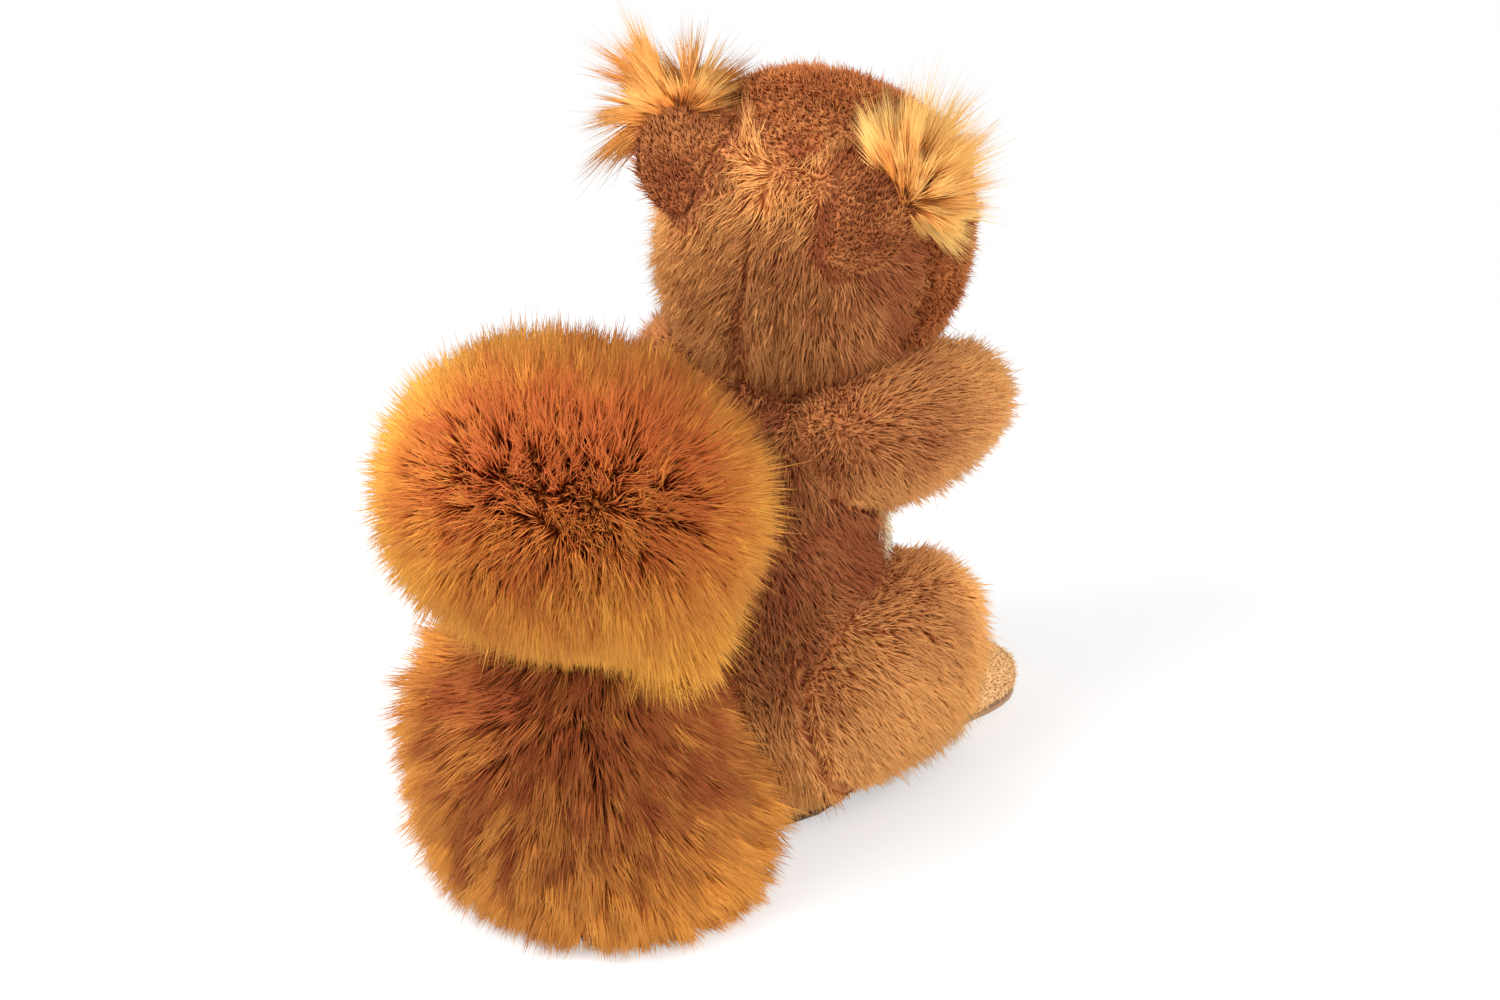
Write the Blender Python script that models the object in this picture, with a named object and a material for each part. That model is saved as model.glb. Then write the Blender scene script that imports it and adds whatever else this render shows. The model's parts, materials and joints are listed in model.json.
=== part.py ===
"""Seated plush squirrel, sewn from long and short pile plush and stuffed with fibre.

Metres, +Z up. The squirrel faces -Y, so its left side is at +X. The origin lies on the floor, at the
middle of the base panel that the toy sits on. Each soft form is a solid whose surface is where the pile
ends. A form that is sewn to another one runs into it, and is then trimmed to its surface.
"""

import math

import bmesh
import bpy
from mathutils import Quaternion, Vector

# Clearance left where two pieces meet, and how far a panel starts inside its carrier before it is trimmed
GAP = 0.0003
SINK = 0.003

# Torso: half widths, how far its front and rear lie from the origin, and heights
HIP_HALF_WIDTH = 0.039
WAIST_HALF_WIDTH = 0.028
SHOULDER_HALF_WIDTH = 0.027
RUMP_REACH = 0.040
WAIST_REAR_REACH = 0.022
SHOULDER_REAR_REACH = 0.008
BELLY_REACH = 0.033
CHEST_REACH = 0.037
WAIST_HEIGHT = 0.062
NECK_HEIGHT = 0.096
CHEST_DROP = 0.016
TORSO_SQUARENESS = 2.3

# Neck: how far its front and rear lie from the head's centre, and the height of the taper into the head
NECK_FRONT_REACH = 0.014
NECK_REAR_REACH = 0.024
NECK_TAPER_HEIGHT = 0.005

# Panels sewn on the torso
BASE_PANEL_THICKNESS = 0.0015
BASE_PANEL_MARGIN = 0.003
BELLY_PANEL_THICKNESS = 0.0015
BELLY_PANEL_HALF_ANGLE = 64.0
BELLY_PANEL_START = 0.55
BELLY_PANEL_END = 6.4

# Head: half sizes of the skull, and the length of the muzzle in front of it
HEAD_HALF_WIDTH = 0.034
HEAD_HALF_HEIGHT = 0.035
HEAD_REAR_REACH = 0.034
MUZZLE_REACH = 0.050
MUZZLE_HALF_WIDTH = 0.0125
MUZZLE_DROP = 0.009
HEAD_FORWARD = 0.029
NECK_OVERLAP = 0.006
HEAD_SQUARENESS = 2.25
HEAD_TILT = 8.0
HEAD_TURN = 8.0
FACE_PANEL_THICKNESS = 0.0012
FACE_PANEL_START = 3.4

# Ears and the long tufts sewn into their upper edges
EAR_HALF_WIDTH = 0.0130
EAR_HALF_HEIGHT = 0.0138
EAR_THICKNESS = 0.0075
EAR_CUP_DEPTH = 0.0035
EAR_CROWN = 0.0008
EAR_APART = 0.0215
EAR_BEHIND_FACE = 0.0230
EAR_RISE = 0.0195
EAR_SPLAY = 30.0
TUFT_LENGTH = 0.0215
TUFT_ROOT_HALF_LENGTH = 0.0130
TUFT_ROOT_RADIUS = 0.0050
TUFT_ROOT_RISE = EAR_HALF_HEIGHT * 0.80
TUFT_SETBACK = 0.0010

# Eyes and nose: plastic caps on a shank, held by a washer inside the head
EYE_RADIUS = 0.0043
EYE_RISE = 0.0033
EYE_STATION = 6.05
EYE_ANGLE = 30.0
NOSE_HALF_WIDTH = 0.0042
NOSE_HALF_HEIGHT = 0.0032
NOSE_RISE = 0.0030
CAP_SINK = 0.0006
CAP_RIM = 0.00005
SHANK_RADIUS = 0.0013
SHANK_LENGTH = 0.0085
WASHER_RADIUS = 0.0042
WASHER_THICKNESS = 0.0010
WASHER_DEPTH = 0.0060

# Arms, thighs and feet
ARM_RADIUS = 0.0175
PAW_RADIUS = 0.0135
ARM_REACH = 0.0480
ARM_APART = 0.0285
SHOULDER_DROP = 0.011
PAW_DROP = 0.001
THIGH_HALF_WIDTH = 0.0180
THIGH_HALF_LENGTH = 0.0335
THIGH_HEIGHT = 0.0520
THIGH_APART = 0.0310
THIGH_FORWARD = 0.0105
THIGH_SPLAY = 5.0
FOOT_HALF_WIDTH = 0.0105
FOOT_LENGTH = 0.0440
FOOT_HEIGHT = 0.0150
FOOT_TOE_REACH = 0.0690
FOOT_APART = 0.0335
FOOT_SPLAY = 14.0
SOLE_THICKNESS = 0.0012
SOLE_MARGIN = 0.0008

# Tail: a round mass that sits on the floor, and the curled end of the tail on top of it
TAIL_HALF_WIDTH = 0.0415
TAIL_HALF_DEPTH = 0.0415
TAIL_MASS_HEIGHT = 0.0740
TAIL_CENTRE = 0.0610
TAIL_SHIFT = 0.0050
TAIL_LEAN = 0.0035
TAIL_SETBACK = 0.0025
TAIL_FLOOR_HALF_WIDTH = 0.0310
CURL_HALF_WIDTH = 0.0415
CURL_HALF_HEIGHT = 0.0325
CURL_HEIGHT = 0.0950
CURL_CENTRE = 0.0650
CURL_SHIFT = 0.0030
CURL_TILT = 12.0
LOBE_RADIUS = 0.0165
LOBE_SHIFT = 0.0230
LOBE_SETBACK = 0.0020
LOBE_DROP = 0.0230
TAIL_TUFT_RISE = 0.0032

# Cutters: how far the torso's runs below the floor, and the slab under the floor
BELOW_FLOOR = 0.010
SLAB_SIZE = 0.400
SLAB_THICKNESS = 0.050

# Facets
BODY_SIDES = 24
THIGH_SIDES = 20
LIMB_SIDES = 16
SMALL_SIDES = 12
FOOT_SIDES = 24
EAR_SIDES = 20
RINGS_A_ROW = 2

X_AXIS = Vector((1.0, 0.0, 0.0))
Y_AXIS = Vector((0.0, 1.0, 0.0))
Z_AXIS = Vector((0.0, 0.0, 1.0))
LEFT_AND_RIGHT = (("left", 1.0), ("right", -1.0))

# Colours, as linear red, green and blue
GOLDEN_BROWN = (0.36, 0.155, 0.045)
DARK_BROWN = (0.24, 0.085, 0.028)
COPPER = (0.46, 0.165, 0.035)
GINGER = (0.68, 0.30, 0.065)
CREAM = (0.80, 0.70, 0.55)
TAN = (0.47, 0.29, 0.13)
UMBER = (0.075, 0.032, 0.018)
BLACK = (0.008, 0.007, 0.007)
CLEAR_WHITE = (0.75, 0.75, 0.72)


def clear_scene():
    for obj in list(bpy.data.objects):
        bpy.data.objects.remove(obj, do_unlink=True)


def make_material(name, colour, roughness, metallic=0.0):
    material = bpy.data.materials.new(name)
    material.use_nodes = True
    shader = material.node_tree.nodes["Principled BSDF"]
    shader.inputs["Base Color"].default_value = (*colour, 1.0)
    shader.inputs["Roughness"].default_value = roughness
    shader.inputs["Metallic"].default_value = metallic
    material.diffuse_color = (*colour, 1.0)
    return material


def make_object(name, bm, material=None):
    """An object from bm, with its faces turned outwards and shaded smooth up to sharp edges."""
    bmesh.ops.recalc_face_normals(bm, faces=bm.faces)
    mesh = bpy.data.meshes.new(name)
    bm.to_mesh(mesh)
    bm.free()
    mesh.shade_smooth()
    mesh.set_sharp_from_angle(angle=math.radians(40.0))
    obj = bpy.data.objects.new(name, mesh)
    bpy.context.scene.collection.objects.link(obj)
    if material:
        mesh.materials.append(material)
    return obj


def smooth_row(rows, t):
    """The row at t of a smooth curve through the rows, where row number n lies at t = n."""
    last = len(rows) - 1
    n = min(max(int(math.floor(t)), 0), last - 1)
    s = t - n
    before, here = rows[max(n - 1, 0)], rows[n]
    there, after = rows[n + 1], rows[min(n + 2, last)]
    share_here = 2 * s**3 - 3 * s**2 + 1
    share_there = 3 * s**2 - 2 * s**3
    slope_here = s**3 - 2 * s**2 + s
    slope_there = s**3 - s**2
    return [
        share_here * b + share_there * c + slope_here * (c - a) / 2 + slope_there * (d - b) / 2
        for a, b, c, d in zip(before, here, there, after)
    ]


class Form:
    """A rounded form: ovals round a spine. A row is x, y, z of the spine and two half sizes of the oval.

    The first half size lies along `across`, and the second at right angles to it and to the spine.
    Angle 0 is along `across`, and the ends of the form close at the first and the last of `poles`.
    Where `axis` is given, every oval stands across that axis, however the spine runs.
    """

    def __init__(self, rows, poles, across=X_AXIS, squareness=2.0, axis=None):
        self.rows = rows
        self.poles = poles
        self.across = across
        self.squareness = squareness
        self.axis = axis

    def turned(self, turn, pivot):
        """The same form, with its spine, ovals and poles turned about the pivot."""
        rows = [(*(pivot + turn @ (Vector(row[:3]) - pivot)), *row[3:]) for row in self.rows]
        poles = [pivot + turn @ (pole - pivot) if pole else None for pole in self.poles]
        axis = turn @ self.axis if self.axis else None
        return Form(rows, poles, turn @ self.across, self.squareness, axis)

    def spine(self, t):
        return Vector(smooth_row(self.rows, t)[:3])

    def frame(self, t):
        """The oval's centre, its two directions and its two half sizes at t."""
        row = smooth_row(self.rows, t)
        step = 0.05
        along = self.axis or (self.spine(t + step) - self.spine(t - step)).normalized()
        other = along.cross(self.across).normalized()
        across = other.cross(along).normalized()
        return Vector(row[:3]), across, other, row[3], row[4]

    def skin(self, t, angle):
        centre, across, other, half_across, half_other = self.frame(t)
        c, s = math.cos(angle), math.sin(angle)
        power = 2.0 / self.squareness
        return (
            centre
            + across * half_across * math.copysign(abs(c) ** power, c)
            + other * half_other * math.copysign(abs(s) ** power, s)
        )

    def normal(self, t, angle):
        step = 0.02
        low, high = max(t - step, 0.0), min(t + step, len(self.rows) - 1.0)
        along = self.skin(high, angle) - self.skin(low, angle)
        around = self.skin(t, angle + step) - self.skin(t, angle - step)
        normal = around.cross(along).normalized()
        return normal if normal.dot(self.skin(t, angle) - self.spine(t)) > 0 else -normal

    def point(self, t, angle, out=0.0):
        return self.skin(t, angle) + self.normal(t, angle) * out

    def rings(self, sides, out=0.0, start=0.0, end=None):
        end = len(self.rows) - 1.0 if end is None else end
        count = max(2, round((end - start) * RINGS_A_ROW))
        stations = [start + (end - start) * i / count for i in range(count + 1)]
        angles = [2 * math.pi * j / sides for j in range(sides)]
        return [[self.point(t, a, out) for a in angles] for t in stations]

    def solid(self, name, sides, material=None, out=0.0):
        """The whole form as one object, grown by out."""
        rings = self.rings(sides, out)
        poles = []
        for pole, ring in zip(self.poles, (rings[0], rings[-1])):
            middle = sum(ring, Vector()) / len(ring)
            grown = (pole - middle).normalized() * out if pole else Vector()
            poles.append(pole + grown if pole else None)
        return ring_solid(name, rings, material, *poles)

    def patch(self, name, material, start, end, half_angle, middle_angle, inner, outer, columns):
        """A panel that follows part of the skin, between inner and outer above it."""
        count = max(2, round((end - start) * RINGS_A_ROW))
        layers = []
        for out in (inner, outer):
            layers.append(
                [
                    [
                        self.point(
                            start + (end - start) * i / count,
                            middle_angle + half_angle * (2.0 * j / columns - 1.0),
                            out,
                        )
                        for j in range(columns + 1)
                    ]
                    for i in range(count + 1)
                ]
            )
        return sheet_solid(name, layers, material)

    def cup(self, name, material, start, inner, outer, sides):
        """A shell over the end of the form, from start to its last pole."""
        bm = bmesh.new()
        layers = []
        for out in (inner, outer):
            rings = self.rings(sides, out, start)
            middle = sum(rings[-1], Vector()) / sides
            pole = self.poles[1] + (self.poles[1] - middle).normalized() * out
            made = [[bm.verts.new(p) for p in ring] for ring in rings]
            layers.append(made)
            for lower, upper in zip(made, made[1:]):
                join_rings(bm, lower, upper)
            close_ring(bm, made[-1], bm.verts.new(pole))
        join_rings(bm, layers[0][0], layers[1][0])
        return make_object(name, bm, material)


def join_rings(bm, lower, upper):
    for j in range(len(lower)):
        k = (j + 1) % len(lower)
        bm.faces.new((lower[j], lower[k], upper[k], upper[j]))


def close_ring(bm, ring, pole=None):
    """Closes a ring by a fan of triangles to the pole, or by one flat face."""
    if pole is None:
        bm.faces.new(ring)
        return
    for j in range(len(ring)):
        bm.faces.new((ring[j], ring[(j + 1) % len(ring)], pole))


def ring_solid(name, rings, material=None, first_pole=None, last_pole=None):
    bm = bmesh.new()
    made = [[bm.verts.new(p) for p in ring] for ring in rings]
    for lower, upper in zip(made, made[1:]):
        join_rings(bm, lower, upper)
    for ring, pole in ((made[0], first_pole), (made[-1], last_pole)):
        close_ring(bm, ring, bm.verts.new(pole) if pole else None)
    return make_object(name, bm, material)


def sheet_solid(name, layers, material):
    """A closed panel between two grids of points."""
    bm = bmesh.new()
    low, high = [[[bm.verts.new(p) for p in row] for row in layer] for layer in layers]
    rows, columns = len(low), len(low[0])
    for i in range(rows - 1):
        for j in range(columns - 1):
            for grid in (low, high):
                bm.faces.new((grid[i][j], grid[i][j + 1], grid[i + 1][j + 1], grid[i + 1][j]))
    rim = [(0, j) for j in range(columns)] + [(i, columns - 1) for i in range(1, rows)]
    rim += [(rows - 1, j) for j in range(columns - 2, -1, -1)] + [(i, 0) for i in range(rows - 2, 0, -1)]
    for (i, j), (k, m) in zip(rim, rim[1:] + rim[:1]):
        bm.faces.new((low[i][j], low[k][m], high[k][m], high[i][j]))
    return make_object(name, bm, material)


def turned_solid(name, profile, sides, place, turn, material=None, stretch=(1.0, 1.0)):
    """A solid turned round its own Z from (radius, height) points, which start and end on the axis."""
    rings = []
    for radius, height in profile[1:-1]:
        ring = []
        for j in range(sides):
            angle = 2 * math.pi * j / sides
            flat = Vector((math.cos(angle) * stretch[0], math.sin(angle) * stretch[1], 0.0)) * radius
            ring.append(place + turn @ (flat + Vector((0.0, 0.0, height))))
        rings.append(ring)
    first = place + turn @ Vector((0.0, 0.0, profile[0][1]))
    last = place + turn @ Vector((0.0, 0.0, profile[-1][1]))
    return ring_solid(name, rings, material, first, last)


def make_cutter(obj):
    obj.hide_render = True
    obj.display_type = "WIRE"
    return obj


def combine(obj, other, operation):
    """A Boolean with the solver that keeps these rounded forms whole: the default one loses some of them."""
    modifier = obj.modifiers.new(f"{operation.lower()}_{other.name}", "BOOLEAN")
    modifier.operation = operation
    modifier.solver = "MANIFOLD"
    modifier.object = other


def trim(obj, *cutters):
    """Cuts each cutter from obj."""
    for cutter in cutters:
        combine(obj, cutter, "DIFFERENCE")


def join(obj, other):
    combine(obj, other, "UNION")


def floor_cutter():
    """A slab whose top is the floor, for pieces that rest on it."""
    bm = bmesh.new()
    bmesh.ops.create_cube(bm, size=1.0)
    bmesh.ops.scale(bm, vec=(SLAB_SIZE, SLAB_SIZE, SLAB_THICKNESS), verts=bm.verts)
    bmesh.ops.translate(bm, vec=(0.0, 0.0, -SLAB_THICKNESS / 2), verts=bm.verts)
    return make_cutter(make_object("floor_cutter", bm))


def head_turn():
    """The head leans to its right and looks to its left a little."""
    lean = Quaternion((0.0, 1.0, 0.0), math.radians(-HEAD_TILT))
    return Quaternion((0.0, 0.0, 1.0), math.radians(HEAD_TURN)) @ lean


def head_centre():
    height = NECK_HEIGHT + HEAD_HALF_HEIGHT - NECK_OVERLAP
    return Vector((0.0, -HEAD_FORWARD, height))


def torso_rows(bottom):
    """The torso from its flat bottom up to the neck, which ends inside the head."""
    neck_front, neck_rear = -HEAD_FORWARD - NECK_FRONT_REACH, -HEAD_FORWARD + NECK_REAR_REACH
    above_waist_width = 0.36 * HIP_HALF_WIDTH + 0.64 * WAIST_HALF_WIDTH
    above_waist_rear = (RUMP_REACH + 2 * WAIST_REAR_REACH) / 3
    hip_middle = 0.5 * WAIST_HEIGHT

    def row(height, half_width, front, rear):
        return (0.0, (front + rear) / 2, height, half_width, (rear - front) / 2)

    return [
        row(bottom, 0.92 * HIP_HALF_WIDTH, -0.91 * BELLY_REACH, 0.90 * RUMP_REACH),
        row(0.4 * hip_middle, HIP_HALF_WIDTH, -0.97 * BELLY_REACH, RUMP_REACH),
        row(hip_middle, 0.95 * HIP_HALF_WIDTH, -BELLY_REACH, 0.92 * RUMP_REACH),
        row(0.78 * WAIST_HEIGHT, above_waist_width, -BELLY_REACH, above_waist_rear),
        row(WAIST_HEIGHT, WAIST_HALF_WIDTH, -BELLY_REACH, 0.91 * WAIST_REAR_REACH),
        row(NECK_HEIGHT - CHEST_DROP, SHOULDER_HALF_WIDTH, -CHEST_REACH, SHOULDER_REAR_REACH),
        row(
            NECK_HEIGHT - NECK_TAPER_HEIGHT,
            0.89 * SHOULDER_HALF_WIDTH,
            neck_front + 0.07 * NECK_FRONT_REACH,
            neck_rear + 0.25 * NECK_REAR_REACH,
        ),
        row(
            NECK_HEIGHT + NECK_TAPER_HEIGHT,
            0.59 * SHOULDER_HALF_WIDTH,
            neck_front + 0.57 * NECK_FRONT_REACH,
            neck_rear - 0.25 * NECK_REAR_REACH,
        ),
    ]


def torso_form(bottom):
    middle = (NECK_REAR_REACH - NECK_FRONT_REACH) / 2
    neck_top = Vector((0.0, -HEAD_FORWARD + middle, NECK_HEIGHT + 1.6 * NECK_TAPER_HEIGHT))
    return Form(torso_rows(bottom), (None, neck_top), squareness=TORSO_SQUARENESS, axis=Z_AXIS)


def head_form():
    """The head from its rear pole to the tip of the muzzle. Its ovals stand across the Y axis."""
    centre = head_centre()
    width, height = HEAD_HALF_WIDTH, HEAD_HALF_HEIGHT
    muzzle = MUZZLE_HALF_WIDTH

    def row(forward, half_width, half_height, drop):
        return (0.0, centre.y - forward, centre.z - drop, half_width, half_height)

    rear, front = HEAD_REAR_REACH, MUZZLE_REACH
    rows = [
        row(-0.985 * rear, 0.26 * width, 0.26 * height, 0.06 * height),
        row(-0.90 * rear, 0.54 * width, 0.55 * height, 0.06 * height),
        row(-0.68 * rear, 0.81 * width, 0.82 * height, 0.03 * height),
        row(-0.30 * rear, 0.97 * width, 0.98 * height, 0.0),
        row(0.06 * front, width, height, 0.0),
        row(0.34 * front, 0.93 * width, 0.92 * height, 0.11 * MUZZLE_DROP),
        row(0.56 * front, 0.75 * width, 0.73 * height, 0.35 * MUZZLE_DROP),
        row(0.74 * front, 1.36 * muzzle, 1.34 * muzzle, 0.75 * MUZZLE_DROP),
        row(0.88 * front, muzzle, 0.94 * muzzle, 0.95 * MUZZLE_DROP),
        row(0.965 * front, 0.62 * muzzle, 0.58 * muzzle, MUZZLE_DROP),
    ]
    rear_pole = Vector((0.0, centre.y + rear, centre.z - 0.06 * height))
    tip = Vector((0.0, centre.y - front, centre.z - MUZZLE_DROP))
    upright = Form(rows, (rear_pole, tip), squareness=HEAD_SQUARENESS, axis=-Y_AXIS)
    return upright.turned(head_turn(), centre)


def arm_form(side):
    """An arm from inside the shoulder to the rounded paw."""
    shoulder = NECK_HEIGHT - SHOULDER_DROP
    paw = shoulder - PAW_DROP
    start, reach, apart = torso_rows(0.0)[5][1], ARM_REACH, ARM_APART

    def row(apart_share, forward, height, radius, tallness=1.0):
        return (side * apart_share * apart, start - forward, height, radius, tallness * radius)

    rows = [
        row(0.62, -0.74 * ARM_RADIUS, shoulder, 0.42 * ARM_RADIUS),
        row(0.70, -0.46 * ARM_RADIUS, shoulder, 0.80 * ARM_RADIUS),
        row(0.83, 0.17 * ARM_RADIUS, shoulder, ARM_RADIUS, 1.06),
        row(0.97, 0.30 * reach, shoulder - 0.06 * ARM_RADIUS, 0.95 * ARM_RADIUS, 1.08),
        row(1.02, 0.56 * reach, paw, 1.10 * PAW_RADIUS, 1.05),
        row(1.02, 0.77 * reach, paw, PAW_RADIUS),
        row(1.00, 0.93 * reach, paw + 0.07 * PAW_RADIUS, 0.66 * PAW_RADIUS),
    ]
    first = Vector((side * 0.60 * apart, start + 0.91 * ARM_RADIUS, shoulder))
    tip = Vector((side * 0.99 * apart, start - reach, paw + 0.07 * PAW_RADIUS))
    return Form(rows, (first, tip))


def thigh_form(side):
    """A thigh as a plump disc that stands on the floor, with the knee at its upper front."""
    turn = Quaternion((0.0, 0.0, 1.0), math.radians(side * THIGH_SPLAY))
    middle = Vector((side * THIGH_APART, -THIGH_FORWARD, 0.0))
    across = turn @ X_AXIS
    centre_height = 0.49 * THIGH_HEIGHT
    rows = []
    for forward, drop, width, height in (
        (-0.96, 0.10, 0.34, 0.34),
        (-0.80, 0.07, 0.72, 0.70),
        (-0.45, 0.02, 0.94, 0.93),
        (0.00, -0.02, 1.00, 1.04),
        (0.45, -0.06, 0.98, 1.05),
        (0.78, -0.05, 0.80, 0.84),
        (0.96, -0.02, 0.42, 0.46),
    ):
        place = middle + turn @ Vector((0.0, -forward * THIGH_HALF_LENGTH, 0.0))
        place.z = centre_height * (1.0 - drop)
        rows.append((*place, width * THIGH_HALF_WIDTH, height * centre_height))
    first = middle + turn @ Vector((0.0, THIGH_HALF_LENGTH, 0.0)) + Vector((0.0, 0.0, 0.88 * centre_height))
    last = middle + turn @ Vector((0.0, -THIGH_HALF_LENGTH, 0.0)) + Vector((0.0, 0.0, centre_height))
    return Form(rows, (first, last), across, squareness=2.2)


def foot_outline(side):
    """The foot's footprint as a ring of floor points: a long oval with its toe end forward."""
    turn = Quaternion((0.0, 0.0, 1.0), math.radians(side * FOOT_SPLAY))
    toe = Vector((side * FOOT_APART, -FOOT_TOE_REACH, 0.0))
    middle = toe + turn @ Vector((0.0, FOOT_LENGTH / 2, 0.0))
    ring = []
    for j in range(FOOT_SIDES):
        angle = 2 * math.pi * j / FOOT_SIDES
        c, s = math.cos(angle), math.sin(angle)
        widen = 1.0 - 0.12 * s
        x = FOOT_HALF_WIDTH * widen * math.copysign(abs(c) ** 0.9, c)
        y = FOOT_LENGTH / 2 * math.copysign(abs(s) ** 0.9, s)
        ring.append(middle + turn @ Vector((x, y, 0.0)))
    return ring


def tail_mass_form():
    """The lower part of the tail's pile, with a flat spot where it rests on the floor."""
    width, depth, height = TAIL_HALF_WIDTH, TAIL_HALF_DEPTH, TAIL_MASS_HEIGHT

    def middle(lean):
        return (-TAIL_SHIFT + lean * TAIL_LEAN, TAIL_CENTRE + lean * TAIL_SETBACK)

    def row(height_share, size, lean):
        return (*middle(lean), height_share * height, size * width, size * depth)

    floor_size = TAIL_FLOOR_HALF_WIDTH / TAIL_HALF_WIDTH
    rows = [
        row(0.0, floor_size, -0.9),
        row(0.09, 0.88, -0.5),
        row(0.26, 0.86, 0.7),
        row(0.50, 0.83, 1.6),
        row(0.78, 0.68, 2.0),
    ]
    crown = Vector((*middle(2.0), height))
    return Form(rows, (None, crown), squareness=2.1, axis=Z_AXIS)


def curl_form():
    """The curled end of the tail, an oval cushion of pile that leans towards the torso's right side."""
    centre = Vector((-CURL_SHIFT, CURL_CENTRE, CURL_HEIGHT))
    rows = []
    for degrees in (-74, -52, -28, 0, 28, 52, 74):
        angle = math.radians(degrees)
        size = CURL_HALF_WIDTH * math.cos(angle) ** 0.95
        rows.append((centre.x, centre.y, centre.z + CURL_HALF_HEIGHT * math.sin(angle), size, size))
    poles = [centre + Vector((0.0, 0.0, end * CURL_HALF_HEIGHT)) for end in (-1.0, 1.0)]
    upright = Form(rows, poles, squareness=2.1, axis=Z_AXIS)
    lean_axis = Vector((1.0, -0.8, 0.0)).normalized()
    return upright.turned(Quaternion(lean_axis, math.radians(CURL_TILT)), centre)


def lobe_form():
    """The side lobe of the curl, which bends down to the tail's lower part."""
    centre = Vector((-CURL_SHIFT - LOBE_SHIFT, CURL_CENTRE - LOBE_SETBACK, CURL_HEIGHT - LOBE_DROP))
    rows = []
    for degrees in (-55, 0, 55):
        angle = math.radians(degrees)
        size = LOBE_RADIUS * math.cos(angle)
        rows.append((centre.x, centre.y, centre.z + LOBE_RADIUS * math.sin(angle), size, size))
    poles = [centre + Vector((0.0, 0.0, end * LOBE_RADIUS)) for end in (-1.0, 1.0)]
    return Form(rows, poles, axis=Z_AXIS)


def tufted_solid(name, form, material=None):
    """The form with its skin broken up into tufts: each face rises to a blunt point."""
    plain = form.solid(f"{name}_form", BODY_SIDES)
    bm = bmesh.new()
    bm.from_mesh(plain.data)
    bpy.data.objects.remove(plain, do_unlink=True)
    bm.normal_update()
    tufts = [face for face in bm.faces if len(face.verts) == 4]
    bmesh.ops.poke(bm, faces=tufts, offset=TAIL_TUFT_RISE)
    return make_object(name, bm, material)


def build_tail(material, *cutters):
    tail = tufted_solid("tail", tail_mass_form(), material)
    curl = make_cutter(tufted_solid("curl", curl_form()))
    lobe = make_cutter(lobe_form().solid("curl_lobe", SMALL_SIDES))
    join(tail, curl)
    join(tail, lobe)
    trim(tail, *cutters)


def ear_frame(side):
    """The ear's middle, and the directions across its width, to its back and up to its tip."""
    turn = head_turn()
    middle = head_centre() + turn @ Vector((side * EAR_APART, EAR_BEHIND_FACE, EAR_RISE))
    splay = math.radians(EAR_SPLAY)
    up = turn @ Vector((side * math.sin(splay), 0.0, math.cos(splay)))
    back = turn @ Vector((-side * 0.14, 0.86, 0.48)).normalized()
    across = up.cross(back).normalized()
    up = back.cross(across).normalized()
    return middle, across, back, up


def build_ear(side_name, side, material, cutters):
    """A rounded ear, cupped at its front, whose root runs into the head."""
    middle, across, back, up = ear_frame(side)
    rings = []
    layers = ((0.55, 1.0), (0.88, 0.80), (1.0, 0.30), (0.99, -0.10), (0.86, -0.50), (0.55, -0.50))
    for share, depth in layers:
        ring = []
        for j in range(EAR_SIDES):
            angle = 2 * math.pi * j / EAR_SIDES
            flat = across * math.cos(angle) * EAR_HALF_WIDTH + up * math.sin(angle) * EAR_HALF_HEIGHT
            ring.append(middle + flat * share + back * depth * EAR_THICKNESS / 2)
        rings.append(ring)
    rear = middle + back * (EAR_THICKNESS / 2 + EAR_CROWN)
    hollow = middle - back * (EAR_THICKNESS / 2 - EAR_CUP_DEPTH)
    ear = ring_solid(f"ear_{side_name}", rings, material, rear, hollow)
    trim(ear, *cutters)
    return ear


def build_ear_tuft(side_name, side, material, cutters):
    """Long pile sewn along the ear's outer edge: a rounded root with pointed locks that fan out of it."""
    middle, across, back, up = ear_frame(side)
    root = middle + up * TUFT_ROOT_RISE - back * TUFT_SETBACK
    away = (root - middle).normalized()
    length_way = back.cross(away).normalized()
    bm = bmesh.new()
    bmesh.ops.create_icosphere(bm, subdivisions=2, radius=1.0)
    for vert in bm.verts:
        x, y, z = vert.co
        vert.co = (
            root
            + length_way * x * TUFT_ROOT_HALF_LENGTH
            + back * y * TUFT_ROOT_RADIUS
            + away * z * TUFT_ROOT_RADIUS
        )
    bmesh.ops.recalc_face_normals(bm, faces=bm.faces)
    for face in list(bm.faces):
        place = face.calc_center_median() - root
        share = place.dot(away) / TUFT_ROOT_RADIUS
        if share < 0.15:
            continue
        sideways = place.dot(length_way) / TUFT_ROOT_HALF_LENGTH
        reach = TUFT_LENGTH * (0.55 + 0.45 * share) * (1.0 - 0.25 * sideways**2)
        fan = (away + length_way * sideways * 0.95 + face.normal * 0.35).normalized()
        tip = face.calc_center_median() + fan * reach
        bmesh.ops.poke(bm, faces=[face])["verts"][0].co = tip
    tuft = make_object(f"ear_tuft_{side_name}", bm, material)
    trim(tuft, *cutters)
    return tuft


def cap_profile(radius, rise, gap=0.0):
    """Half section of a cap with its shank, from the shank's end up to the crown."""
    shank = SHANK_RADIUS + gap
    dome = radius + gap
    points = [(0.0, -SHANK_LENGTH - gap), (shank, -SHANK_LENGTH - gap), (shank, -CAP_SINK - gap)]
    points.append((dome, -CAP_SINK - gap))
    steps = 5
    for i in range(steps):
        angle = math.pi / 2 * i / steps
        points.append((dome * math.cos(angle), (rise + gap) * math.sin(angle) + CAP_RIM))
    points.append((0.0, rise + gap + CAP_RIM))
    return points


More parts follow.
